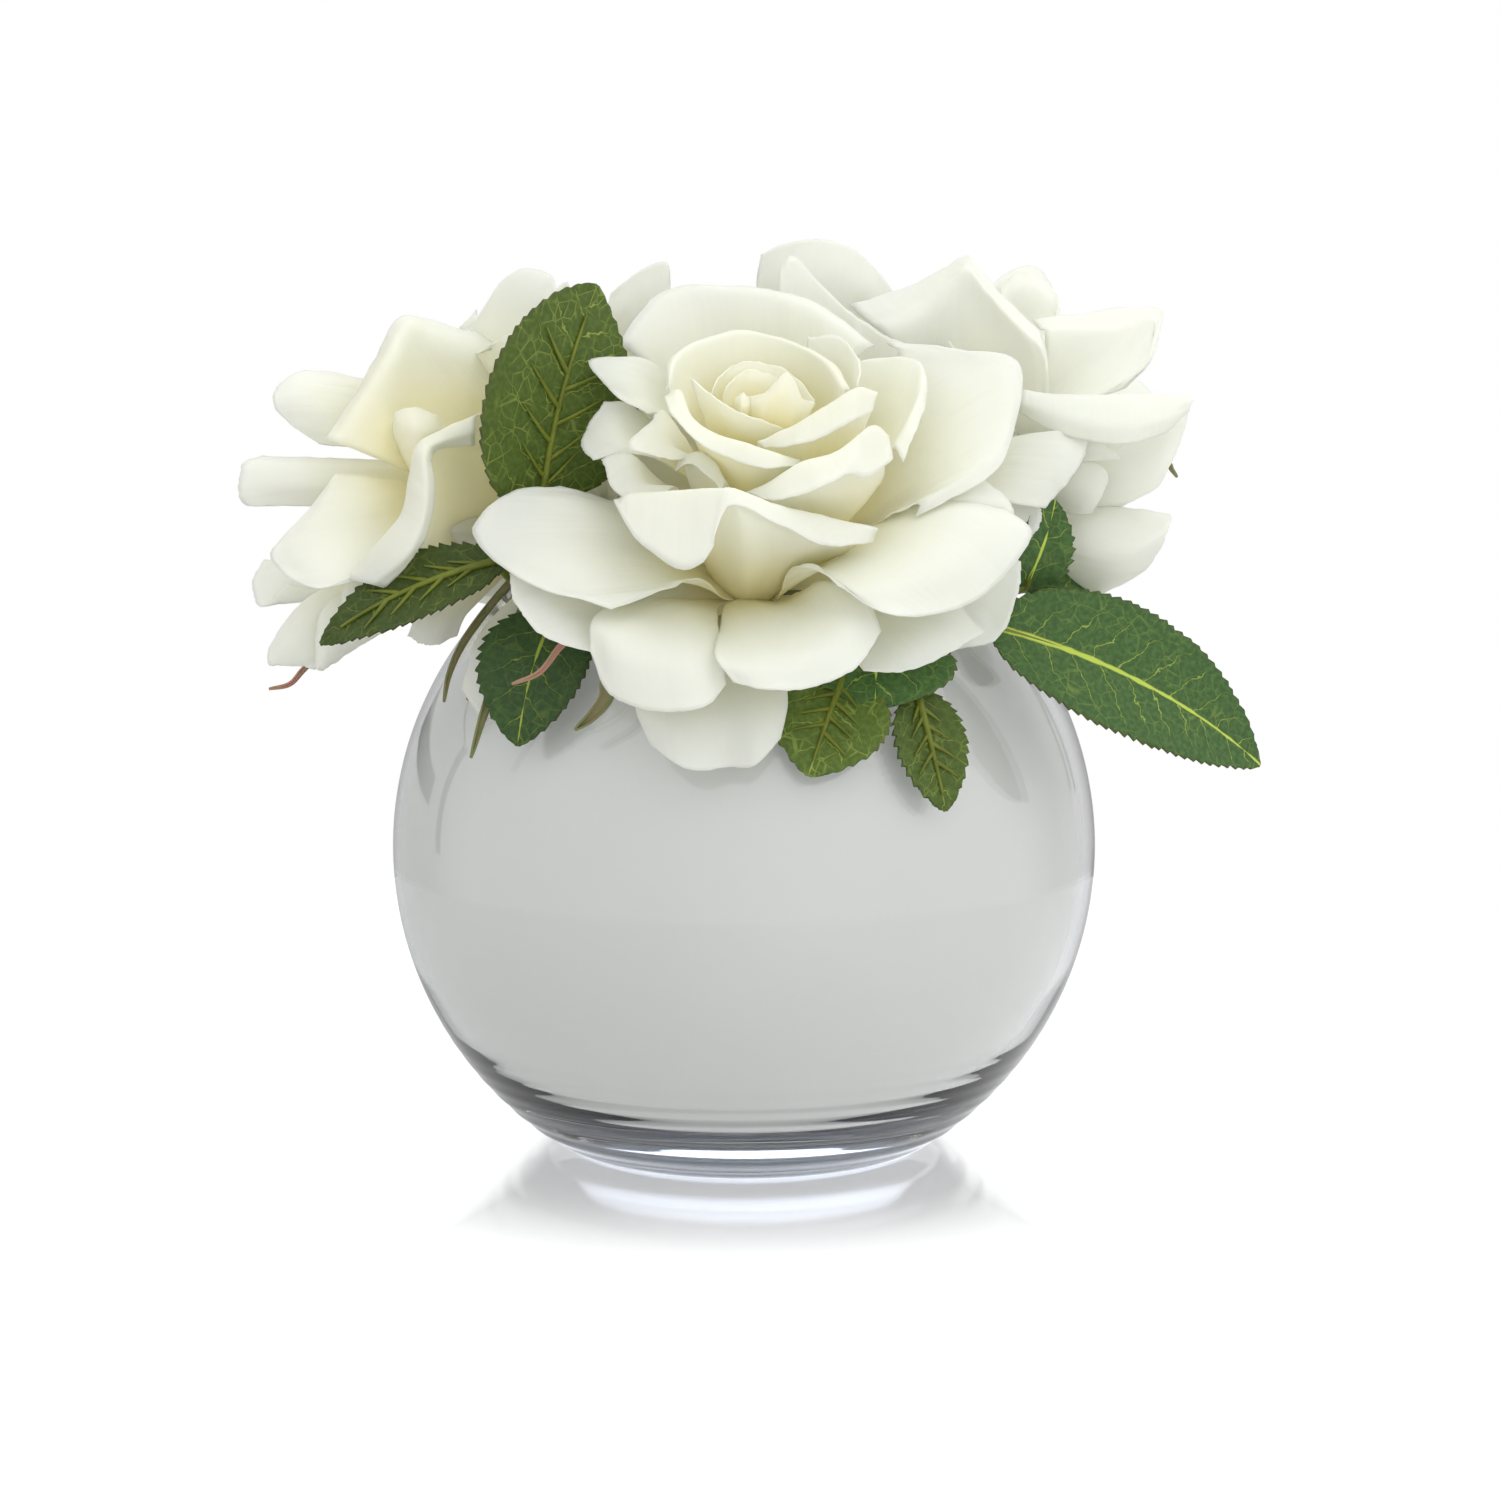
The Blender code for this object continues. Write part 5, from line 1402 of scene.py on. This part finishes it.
# Leaf sprays: their leaves, and the twigs that carry them, as points from the foam to the leaves
sprays = {
    "leaf_upper_left": dict(
        twig=[(-14, -8, 40), (-24, -14, 92), (-34, -25, 118), (-40.2, -36.9, 134), (-41.6, -38.0, 144.5)],
        leaves=[
            leaf(
                (-42.2, -38.4, 141), (-30.2, -29.8, 187), (0.6, -0.8, 0.1), 39,
                arch=3, sweep=4, fold=6, seen="under",
            ),
        ],
    ),
    "leaves_left": dict(
        twig=[(-16, -14, 40), (-27, -22, 92), (-37, -31, 120.5), (-47, -41, 127), (-50, -46, 131)],
        leaves=[
            leaf((-49, -45, 132), (-87, -44, 114.5), (-0.1, -0.75, 0.7), 17, fold=8, seen="under", tone=0.64),
            leaf(
                (-38.5, -43, 121), (-46, -57.5, 95.5), (-0.25, -0.85, 0.4), 25,
                fold=8, offBall=3.0, tone=0.68,
            ),
        ],
    ),
    "leaves_front": dict(
        twig=[(8, -16, 40), (15, -26, 92), (21, -39, 118), (25, -50, 121.5), (26.5, -57, 118)],
        leaves=[
            leaf(
                (20.5, -60, 111), (13, -72.6, 92), (0, -0.85, 0.5), 26,
                arch=1, fold=4, offBall=1.8, seen="under", tone=1.3,
            ),
            leaf(
                (27, -53, 119.5), (26.5, -65, 104.5), (0.1, -0.75, 0.65), 34,
                arch=1, fold=-4, offBall=3.4, tone=1.15,
            ),
            leaf(
                (35, -57.5, 107), (41, -65.5, 83.5), (0.2, -0.9, 0.3), 16,
                arch=1, fold=6, offBall=1.8, seen="under",
            ),
        ],
    ),
    "leaves_right": dict(
        twig=[(16, -8, 40), (29, -14, 92), (41, -22, 118.5), (48, -34, 121.5), (51, -42, 118.5)],
        leaves=[
            leaf((50.5, -42, 118), (108, -26, 86), (0.25, -0.8, 0.55), 31, arch=5, sweep=1.5, bold=1.0),
            leaf((58, -31, 124), (64.4, -30, 142.4), (0.4, -0.9, 0.2), 15, arch=2, fold=8),
            leaf((59, -28, 123.5), (76, -16, 117), (0.3, -0.5, 0.8), 16, arch=2, fold=8),
        ],
    ),
    "leaves_back": dict(
        twig=[(0, 18, 40), (0, 30, 92), (-4, 44, 119.5), (-8, 60, 122), (-9, 66, 119)],
        leaves=[
            leaf((-9, 64, 119), (-14, 92, 88), (0, 0.7, 0.7), 30, arch=5, offBall=3.0),
            leaf((-12.5, 59.5, 122.5), (-44, 76, 104), (0, 0.5, 0.8), 24, offBall=3.0),
        ],
    ),
}

# What all leaves share: sizes in millimetres, waves as the petals', and their moulded ribs
leafCloth = dict(
    thickness=0.4,
    rows=120,
    columns=30,
    widest=0.42,
    teeth=1.3,  # how deep the teeth are
    toothLength=2.2,
    swell=1.2,
    crease=0.3,
    flutter=0.8,
    patternStep=5.3,
    twig=(1.3, 0.9),  # how thick it is, from the foam to its end
    stalk=0.85,
    rib=(0.95, 0.3),  # the rib under a leaf, from its base on
    ribLength=0.86,
    ribLift=0.35,
    spurPairs=4,
    spur=(0.6, 0.15),
)


def leafLine(shape, s):
    # the midrib, with its side and upward directions at each point
    base, tip, facing = (np.array(shape[key], float) for key in ("base", "tip", "facing"))
    along = (tip - base) / np.linalg.norm(tip - base)
    facing = facing - (facing @ along) * along
    facing /= np.linalg.norm(facing)
    side = np.cross(facing, along)
    rise = 4.0 * s * (1.0 - s)
    line = base + np.outer(s, tip - base) + np.outer(rise, facing * shape["arch"] + side * shape["sweep"])
    tangent = np.gradient(line, axis=0)
    tangent /= np.linalg.norm(tangent, axis=1, keepdims=True)
    across = np.cross(facing, tangent)
    across /= np.linalg.norm(across, axis=1, keepdims=True)
    return line, across, np.cross(tangent, across)


def leafHalf(shape, s):
    widest = leafCloth["widest"]
    bend = widest / (1.0 - widest)
    outline = s ** (0.75 * bend) * (1.0 - s) ** 0.75
    top = widest ** (0.75 * bend) * (1.0 - widest) ** 0.75
    return np.maximum(shape["width"] / 2 * outline / top, 0.5)


def leafSheet(shape, random):
    s = np.linspace(0.0, 1.0, leafCloth["rows"] + 1)
    t = np.linspace(-1.0, 1.0, leafCloth["columns"] + 1)[:, None]
    line, side, up = leafLine(shape, s)
    half = leafHalf(shape, s)
    long = np.linalg.norm(np.array(shape["tip"], float) - np.array(shape["base"], float))
    # saw teeth that point to the tip, deeper on one side than the other
    cut = []
    for depth in (leafCloth["teeth"], 0.7 * leafCloth["teeth"]):
        wander = np.interp(s, np.linspace(0, 1, 9), random.uniform(-0.25, 0.25, 9))
        saw = (s * long / leafCloth["toothLength"] + wander) % 1.0
        size = np.interp(s, np.linspace(0, 1, 25), random.uniform(0.6, 1.1, 25))
        cut.append(depth * size * (1.0 - saw) * smooth(half / 4.0) * smooth((1.0 - s) / 0.06))
    cut = np.where(t < 0, cut[0], cut[1])
    out = t * half * (1.0 - cut / half * np.abs(t) ** 9)
    # both halves rise from a rounded fold
    angle = math.radians(shape["fold"])
    lift = (np.sqrt(out**2 + 1.0) - 1.0) * math.sin(angle)
    grid = line[None] + side[None] * (out * math.cos(angle))[..., None] + up[None] * lift[..., None]
    if shape["offBall"]:
        grid = offTheBall(grid, shape["offBall"])
    flat = np.stack([out, s * long + 0 * out, 0 * out], axis=-1)
    share = np.stack([t + 0 * out, s + 0 * out, shape["bold"] + 0 * out], axis=-1)
    return grid, flat, share


def leafRibs(shape):
    # the moulded rib under a leaf: a tapered bar with free spurs that lie along the blade
    under = shape["seen"] == "under"
    s = np.linspace(0.0, leafCloth["ribLength"], 24)
    line, side, up = leafLine(shape, s)
    half = leafHalf(shape, s)
    away = (1.0 if under else -1.0) * (leafCloth["thickness"] / 2 + leafCloth["ribLift"])
    angle = math.radians(shape["fold"])
    lines = [(line + up * away, np.linspace(*leafCloth["rib"], len(s)))]
    spurs = 2 * leafCloth["spurPairs"]
    share = np.linspace(0.0, 1.0, 6)[:, None]
    for k in range(spurs):
        start = 3 + int(k * (len(s) - 9) / spurs)
        end = min(start + 4, len(s) - 1)
        hand = 1 if k % 2 else -1
        out = 0.5 * half[start] * share**0.9
        path = line[start] + (line[end] - line[start]) * share
        path = path + side[start] * hand * out * math.cos(angle)
        path = path + up[start] * (away + out * math.sin(angle))
        lines.append((path, np.linspace(*leafCloth["spur"], 6)))
    if shape["offBall"] and not under:
        lines = [(offTheBall(path, shape["offBall"] + 0.6), girth) for path, girth in lines]
    return lines


def leafStalk(twig, shape):
    # from the nearest point of the twig's upper end to the leaf, where they don't meet
    rib = leafLine(shape, np.linspace(0, 1, 9))[0]
    joint = min(twig[10:], key=lambda point: np.linalg.norm(point - rib[0]))
    if np.linalg.norm(joint - rib[0]) <= 1.0:
        return []
    middle = 0.5 * (joint + rib[0]) + (0, 0, 0.8)
    return [(eased([joint, middle, rib[0], rib[1]], 4), leafCloth["stalk"])]


def makeSpray(name, spray):
    random = np.random.default_rng(len(name) * 7)
    fields = {field: [] for field in ("place", "cloth", "share", "tone")}
    faces, finishes, first = [], [], 0
    twig = eased(spray["twig"], 6)
    bars = [(twig, np.linspace(*leafCloth["twig"], len(twig)))]
    for index, shape in enumerate(spray["leaves"]):
        place, cloth, share = leafSheet(shape, random)
        cloth[..., 2] = index * leafCloth["patternStep"]
        quads = gridFaces(*place.shape[:2], first)
        faces += quads
        finishes += [1 if shape["seen"] == "top" else 0] * len(quads)
        first += place.shape[0] * place.shape[1]
        for store, field in zip(("place", "cloth", "share"), (place, cloth, share)):
            fields[store].append(field.reshape(-1, 3))
        fields["tone"].append(np.full(place.shape[0] * place.shape[1], shape["tone"]))
        bars += leafRibs(shape) + leafStalk(twig, shape)
    fields = {field: np.concatenate(store) for field, store in fields.items()}
    body = newBody(f"{name}_blades", fields.pop("place"), faces=faces)
    for field, values in fields.items():
        putField(body, field, values)
    aside = np.abs(fields["share"][:, 0])
    putField(body, "rim", aside**4)
    putField(body, "free", smooth((aside - 0.05) / 0.3))
    waves = {wave: leafCloth[wave.lower()] * mm for wave in ("Swell", "Crease", "Flutter")}
    runTree(body, pressTree, **waves, Seed=float(len(name)), Finish=leafTop)
    # slots: top, underside, top; a leaf starts at the one that turns its seen side to the room
    body.data.materials.append(leafUnder)
    body.data.materials.append(leafTop)
    body.data.polygons.foreach_set("material_index", finishes)
    thicken(body, leafCloth["thickness"], otherSide=1)
    handIn(body, "foliage", name)
    ribs = makeBars(f"{name}_ribs", bars, ribPlastic, 8)
    faceOutwards(ribs)
    handIn(ribs, "stem")


for sprayName, sprayShape in sprays.items():
    makeSpray(sprayName, sprayShape)


# Where each stem runs: low in the foam, where it leaves it, and one bend above
stemPaths = {
    "front": [(1, -8, 30), (3, -19, 93), (4.0, -24.0, 106)],
    "left": [(-10, 2, 30), (-24, 3, 93), (-33, 4.5, 118)],
    "right": [(12, 4, 30), (27, 8, 93), (36, 10, 124)],
    "back_right": [(6, 12, 30), (14, 19, 93), (18, 22, 112)],
    "back_left": [(-5, 12, 30), (-17, 18, 93), (-24, 20.5, 110)],
}

# The calyx under each bloom, as radius and height, and its ring of sepals
calyx = dict(
    profile=[
        (0, -10), (2.2, -10), (3.4, -8.8), (4.9, -6.6), (6, -3.2), (7, -0.4), (7.4, 1), (6.9, 1.5), (0, 1.2),
    ],
    stemRadius=2.0,
    sepalLength=26.0,
    sepalWidth=6.5,
    sepalThickness=0.5,
    sepalRing=5.0,
    droop=(28.0, 60.0),
    glassRoom=1.2,
)


def makeSepal(finish):
    # one long pointed sepal along +X, root at the origin, slightly hollow and turned back at its tip
    s = np.linspace(0.0, 1.0, 23)[None, :]
    t = np.linspace(-1.0, 1.0, 7)[:, None]
    outline = np.sin(np.pi * (0.16 + 0.84 * s)) ** 0.7 * (1 - 0.35 * s)
    half = calyx["sepalWidth"] / 2 * np.clip(outline, 0.05, None)
    x = calyx["sepalLength"] * s + 0 * t
    y = t * half
    z = 0.16 * y**2 / half.max() + 3.0 * s**2
    grid = np.stack([x, y, z], axis=-1)
    body = newBody("sepal", grid.reshape(-1, 3), faces=gridFaces(*grid.shape[:2], 0))
    body.data.materials.append(finish)
    return thicken(body, calyx["sepalThickness"])


# The sepals that the picture shows below the petals: their width in millimetres, whether they are
# blushed with red, and their middle line as (x, y, near)
shownSepals = {
    "front": [
        (1.3, True, [
            (700, 600, 38), (640, 625, 52), (590, 630, 62), (563, 644, 66), (540, 672, 65), (512, 684, 63),
        ]),
        (3.2, False, [
            (700, 610, 38), (650, 650, 56), (612, 675, 66), (606, 698, 66), (592, 716, 65), (575, 730, 64),
        ]),
    ],
    "left": [
        (1.2, True, [
            (520, 540, 2), (420, 590, 6), (335, 640, 10), (305, 668, 16), (290, 684, 20), (269, 689, 21),
        ]),
        (1.5, False, [
            (530, 560, 10), (505, 588, 24), (482, 616, 34), (462, 645, 37), (449, 675, 38), (444, 702, 37),
        ]),
        (2.0, False, [
            (540, 570, 20), (510, 640, 42), (492, 690, 50), (482, 720, 52), (471, 758, 52),
        ]),
        (1.7, True, [
            (530, 565, 12), (500, 630, 36), (484, 665, 44), (478, 684, 45), (467, 700, 45),
        ]),
    ],
    "right": [
        (1.1, False, [
            (985, 500, 2), (1080, 490, 10), (1140, 475, 14),
            (1166, 464, 16), (1172, 470, 16), (1177, 477, 15),
        ]),
    ],
}


def makeShownSepal(name, width, finish, points):
    line = eased([inPicture(*point) for point in points], 6)
    tangent = np.gradient(line, axis=0)
    forward = viewAxes()[2]
    side = np.cross(tangent, forward)
    side /= np.linalg.norm(side, axis=1, keepdims=True)
    s = np.linspace(0.0, 1.0, len(line))
    t = np.linspace(-1.0, 1.0, 7)[:, None]
    half = width / 2 * np.maximum(np.sin(np.pi * (0.3 + 0.7 * s)) ** 0.6, 0.06)
    hollow = 0.25 * width * t**2
    grid = line[None] + side[None] * (t * half)[..., None] - forward * hollow[..., None]
    grid = offTheBall(grid, 1.0)
    body = newBody(name, grid.reshape(-1, 3), faces=gridFaces(*grid.shape[:2], 0))
    body.data.materials.append(finish)
    return thicken(body, calyx["sepalThickness"])


def makeStalk(bloom):
    base, axis = blooms[bloom]
    base, down = np.array(base), -axisFrame(axis)[2]
    random = np.random.default_rng(int(abs(base[0]) * 10))
    line = eased([*stemPaths[bloom], tuple(base + down * 9), tuple(base + down * 6)], 8)
    stem = makeBars(f"{bloom}_stem_bar", [(line, calyx["stemRadius"])], stemPlastic, 16)
    cup = makeTurned(f"{bloom}_calyx", easedProfile(calyx["profile"], 4), 32, sepalCloth, base, axis)
    sepal = makeSepal(sepalCloth)
    turns = sepalTurns(bloom)
    reach = calyx["sepalRing"]
    ring = newBody(f"{bloom}_sepals", [(reach * math.cos(a), reach * math.sin(a), -0.6) for a in turns])
    spin = np.zeros((len(turns), 3))
    spin[:, 1] = np.radians(random.uniform(*calyx["droop"], len(turns)))
    spin[:, 2] = turns
    putField(ring, "spin", spin)
    putField(ring, "size", np.stack([random.uniform(0.75, 1.1, len(turns))] * 3, axis=1))
    runTree(ring, ringTree, Leaflet=sepal, Finish=sepalCloth)
    moveTo(ring, base, axis)
    movePoints(ring, offTheBall(pointsOf(ring), calyx["glassRoom"]))
    bpy.data.objects.remove(sepal)
    shown = []
    for width, blushed, points in shownSepals.get(bloom, []):
        finish = blushCloth if blushed else sepalCloth
        shown.append(makeShownSepal(f"{bloom}_sepal_{len(shown)}", width, finish, points))
    stalk = joinBodies(f"{bloom}_stalk", [stem, cup, ring, *shown])
    faceOutwards(stalk)
    handIn(stalk, "stem", f"{bloom}_stem")


def sepalTurns(bloom):
    return [math.radians(72 * k + 30 + 8 * len(bloom)) for k in range(5)]


for bloomName in blooms:
    makeStalk(bloomName)


# The floor: a sheet of white acrylic that reflects the bowl close to its foot, with a painted reflection
# there as well
floorLook = dict(
    radius=300.0,  # in millimetres, as the lengths below are
    sides=96,
    colour="#969798",
    rough=0.12,
    glow=(0.34, 0.8),  # its own light, inside the painted reflection and around it
    gloss=(60.0, 125.0),  # where the gloss fades, away from the middle
    paintedReflection=(42.0, 0.23),  # half the painted reflection's width at the foot, and its growth
    paintedReflectionSides=(0.86, 1.08),  # where its sides fade, as shares of that
    paintedReflectionBack=(-5.0, 20.0),  # and where it ends behind
    seen=(0.37, 0.6),  # the light that the glass sees, on the left and on the right
    seenAcross=120.0,
    seenBehind=(150.0, 0.7),  # how far behind it is so much darker
    under=(30.0, 46.0, 4.4),  # the light under the foot: where it ends, from and to, and its level
    underTint="#dae4f8",
)


def makeFloor(look):
    # white, with a glow of its own that is painted lower where the bowl's reflection falls; the gloss ends
    # before the sheet's edge
    finish = {"Base Color": look["colour"], "Roughness": look["rough"]}
    material, tree, shader = newFinish("cast_white_acrylic", finish)
    place = addNode(tree, "TexCoord").outputs["Object"]
    across, back = addNode(tree, "SeparateXYZ", place).outputs[:2]
    away = addNode(tree, "VectorMath", place, operation="LENGTH")
    inner, outer = [reach * mm for reach in look["gloss"]]
    dull = addNode(tree, "MapRange", away, inner, outer, **softly)
    gloss = addNode(tree, "Math", dull, -0.5, 0.5, operation="MULTIPLY_ADD")
    feed(tree, gloss, shader.inputs["Specular IOR Level"])
    # painted reflection: the camera sees a lower glow in a patch that widens away from the foot, with soft
    # sides
    half, growth = look["paintedReflection"]
    reach = addNode(tree, "Math", back, -growth, half * mm, operation="MULTIPLY_ADD")
    aside = addNode(tree, "Math", across, operation="ABSOLUTE")
    aside = addNode(tree, "Math", aside, reach, operation="DIVIDE")
    inner, outer = look["paintedReflectionSides"]
    aside = addNode(tree, "MapRange", aside, inner, outer, **softly)
    plain = addNode(tree, "Math", dull, aside, operation="MAXIMUM")
    inner, outer = [reach * mm for reach in look["paintedReflectionBack"]]
    behind = addNode(tree, "MapRange", back, inner, outer, **softly)
    plain = addNode(tree, "Math", plain, behind, operation="MAXIMUM")
    low, high = look["glow"]
    glow = addNode(tree, "Math", plain, high - low, low, operation="MULTIPLY_ADD")
    # the glass sees a grey sheet that is darker on the left and behind, the camera doesn't
    left, right = look["seen"]
    side = look["seenAcross"] * mm
    around = addNode(tree, "MapRange", across, -side, side, left, right, **softly)
    far, share = look["seenBehind"]
    rear = addNode(tree, "MapRange", back, 0.0, far * mm, 1.0, share, **softly)
    around = addNode(tree, "Math", around, rear, operation="MULTIPLY")
    # under the foot the sheet glows brighter, and faintly blue, in the thick glass
    inner, outer, level = look["under"]
    inner, outer = inner * mm, outer * mm
    under = addNode(tree, "MapRange", away, inner, outer, level, 1.0, **softly)
    around = addNode(tree, "Math", around, under, operation="MULTIPLY")
    seen = addNode(tree, "LightPath").outputs["Is Camera Ray"]
    glow = addNode(tree, "Mix", seen, around, glow)
    feed(tree, glow, shader.inputs["Emission Strength"])
    cold = addNode(tree, "MapRange", away, inner, outer, 1.0, 0.0, **softly)
    unseen = addNode(tree, "Math", 1.0, seen, operation="SUBTRACT")
    cold = addNode(tree, "Math", cold, unseen, operation="MULTIPLY")
    tint = addNode(tree, "Mix", cold, "#ffffff", look["underTint"], data_type="RGBA")
    feed(tree, tint, shader.inputs["Emission Color"])
    angles = [2 * math.pi * k / look["sides"] for k in range(look["sides"])]
    rim = [(look["radius"] * math.cos(angle), look["radius"] * math.sin(angle), -0.05) for angle in angles]
    body = newBody("floor", rim, faces=[tuple(range(look["sides"]))])
    body.data.materials.append(material)


# The room: white behind the part; for its light and reflections a soft grey, brighter above
roomLook = dict(
    horizon=1.18,
    zenith=1.42,
    behind=0.5,  # the wall at the back
    leftAndRight=(0.79, 1.01),
    flags=0.58,  # how dark the flags beside and behind the part are
    # dark stands and a bar behind the camera's sides, as (right, height) from and to
    stands=[((-0.895, -0.86), (-0.12, 0.24)), ((-0.8, -0.42), (-0.02, 0.07)), ((0.575, 0.61), (-0.06, 0.28))],
    standLevel=0.1,
)


def addBand(tree, value, low, high):
    # 1 between low and high, and 0 outside, with soft sides
    soft = 0.008
    rise = addNode(tree, "MapRange", value, low, low + soft, **softly)
    fall = addNode(tree, "MapRange", value, high - soft, high, 1.0, 0.0, **softly)
    return addNode(tree, "Math", rise, fall, operation="MULTIPLY")


def makeRoom(look):
    world = bpy.data.worlds.new("studio")
    world.use_nodes = True
    bpy.context.scene.world = world
    tree = world.node_tree
    place = addNode(tree, "TexCoord").outputs["Generated"]
    right, back, height = addNode(tree, "SeparateXYZ", place).outputs
    low, high = look["horizon"], look["zenith"]
    room = addNode(tree, "MapRange", height, 0.0, 0.9, low, high, **softly)
    # black flags stand beside and behind, just out of the picture, and draw the edges of the glass
    tall = addNode(tree, "MapRange", height, 0.35, 0.8, 1.0, 0.0, **softly)
    flag = addNode(tree, "MapRange", back, 0.1, 0.6, **softly)
    flag = addNode(tree, "Math", flag, tall, operation="MULTIPLY")
    flag = addNode(tree, "Math", flag, look["flags"] - 1.0, 1.0, operation="MULTIPLY_ADD")
    room = addNode(tree, "Math", room, flag, operation="MULTIPLY")
    low, high = look["leftAndRight"]
    side = addNode(tree, "MapRange", right, -0.9, 0.6, low, high, **softly)
    room = addNode(tree, "Math", room, side, operation="MULTIPLY")
    front = addNode(tree, "MapRange", back, 0.0, 0.2, **softly)
    for across, upright in look["stands"]:
        wide, tall = addBand(tree, right, *across), addBand(tree, height, *upright)
        dark = addNode(tree, "Math", wide, tall, operation="MULTIPLY")
        dark = addNode(tree, "Math", dark, front, operation="MULTIPLY")
        dark = addNode(tree, "Math", dark, look["standLevel"] - 1.0, 1.0, operation="MULTIPLY_ADD")
        room = addNode(tree, "Math", room, dark, operation="MULTIPLY")
    rear = addNode(tree, "MapRange", back, 0.9, 0.975, **softly)
    room = addNode(tree, "Mix", rear, room, look["behind"])
    # the camera sees plain white
    seen = addNode(tree, "LightPath").outputs["Is Camera Ray"]
    colour = addNode(tree, "Mix", seen, room, "#ffffff", data_type="RGBA")
    feed(tree, colour, tree.nodes["Background"].inputs["Color"])


# Three soft boxes: place and target in metres, size and power
lights = {
    "key": ((0.7, -0.8, 1.2), (0.0, 0.0, 0.1), (0.9, 0.9), 1.6),
    "top": ((0.1, 0.0, 1.4), (0.0, 0.0, 0.1), (1.2, 1.2), 2.6),
    "fill": ((0.1, -1.3, 0.3), (0.0, 0.0, 0.12), (1.4, 0.9), 1.0),
}


def addLight(name, place, target, size, power):
    lamp = bpy.data.lights.new(name, "AREA")
    lamp.shape = "RECTANGLE"
    lamp.size, lamp.size_y = size
    lamp.energy = power
    body = bpy.data.objects.new(name, lamp)
    bpy.context.scene.collection.objects.link(body)
    body.location = place
    body.rotation_euler = (Vector(target) - Vector(place)).to_track_quat("-Z", "Y").to_euler()
    body.visible_glossy = False
    body.visible_transmission = False


def makeCamera():
    lens = bpy.data.cameras.new("camera")
    lens.sensor_width = 36.0
    lens.lens = view["focal"] / view["size"] * lens.sensor_width
    camera = bpy.data.objects.new("camera", lens)
    bpy.context.scene.collection.objects.link(camera)
    camera.location = Vector(view["eye"]) * mm
    camera.rotation_euler = (math.radians(90 - view["tilt"]), 0, 0)
    bpy.context.scene.camera = camera


makeFloor(floorLook)
makeRoom(roomLook)
for lightName, light in lights.items():
    addLight(lightName, *light)
makeCamera()
bpy.context.scene.view_settings.view_transform = "Standard"
print("stage ready")
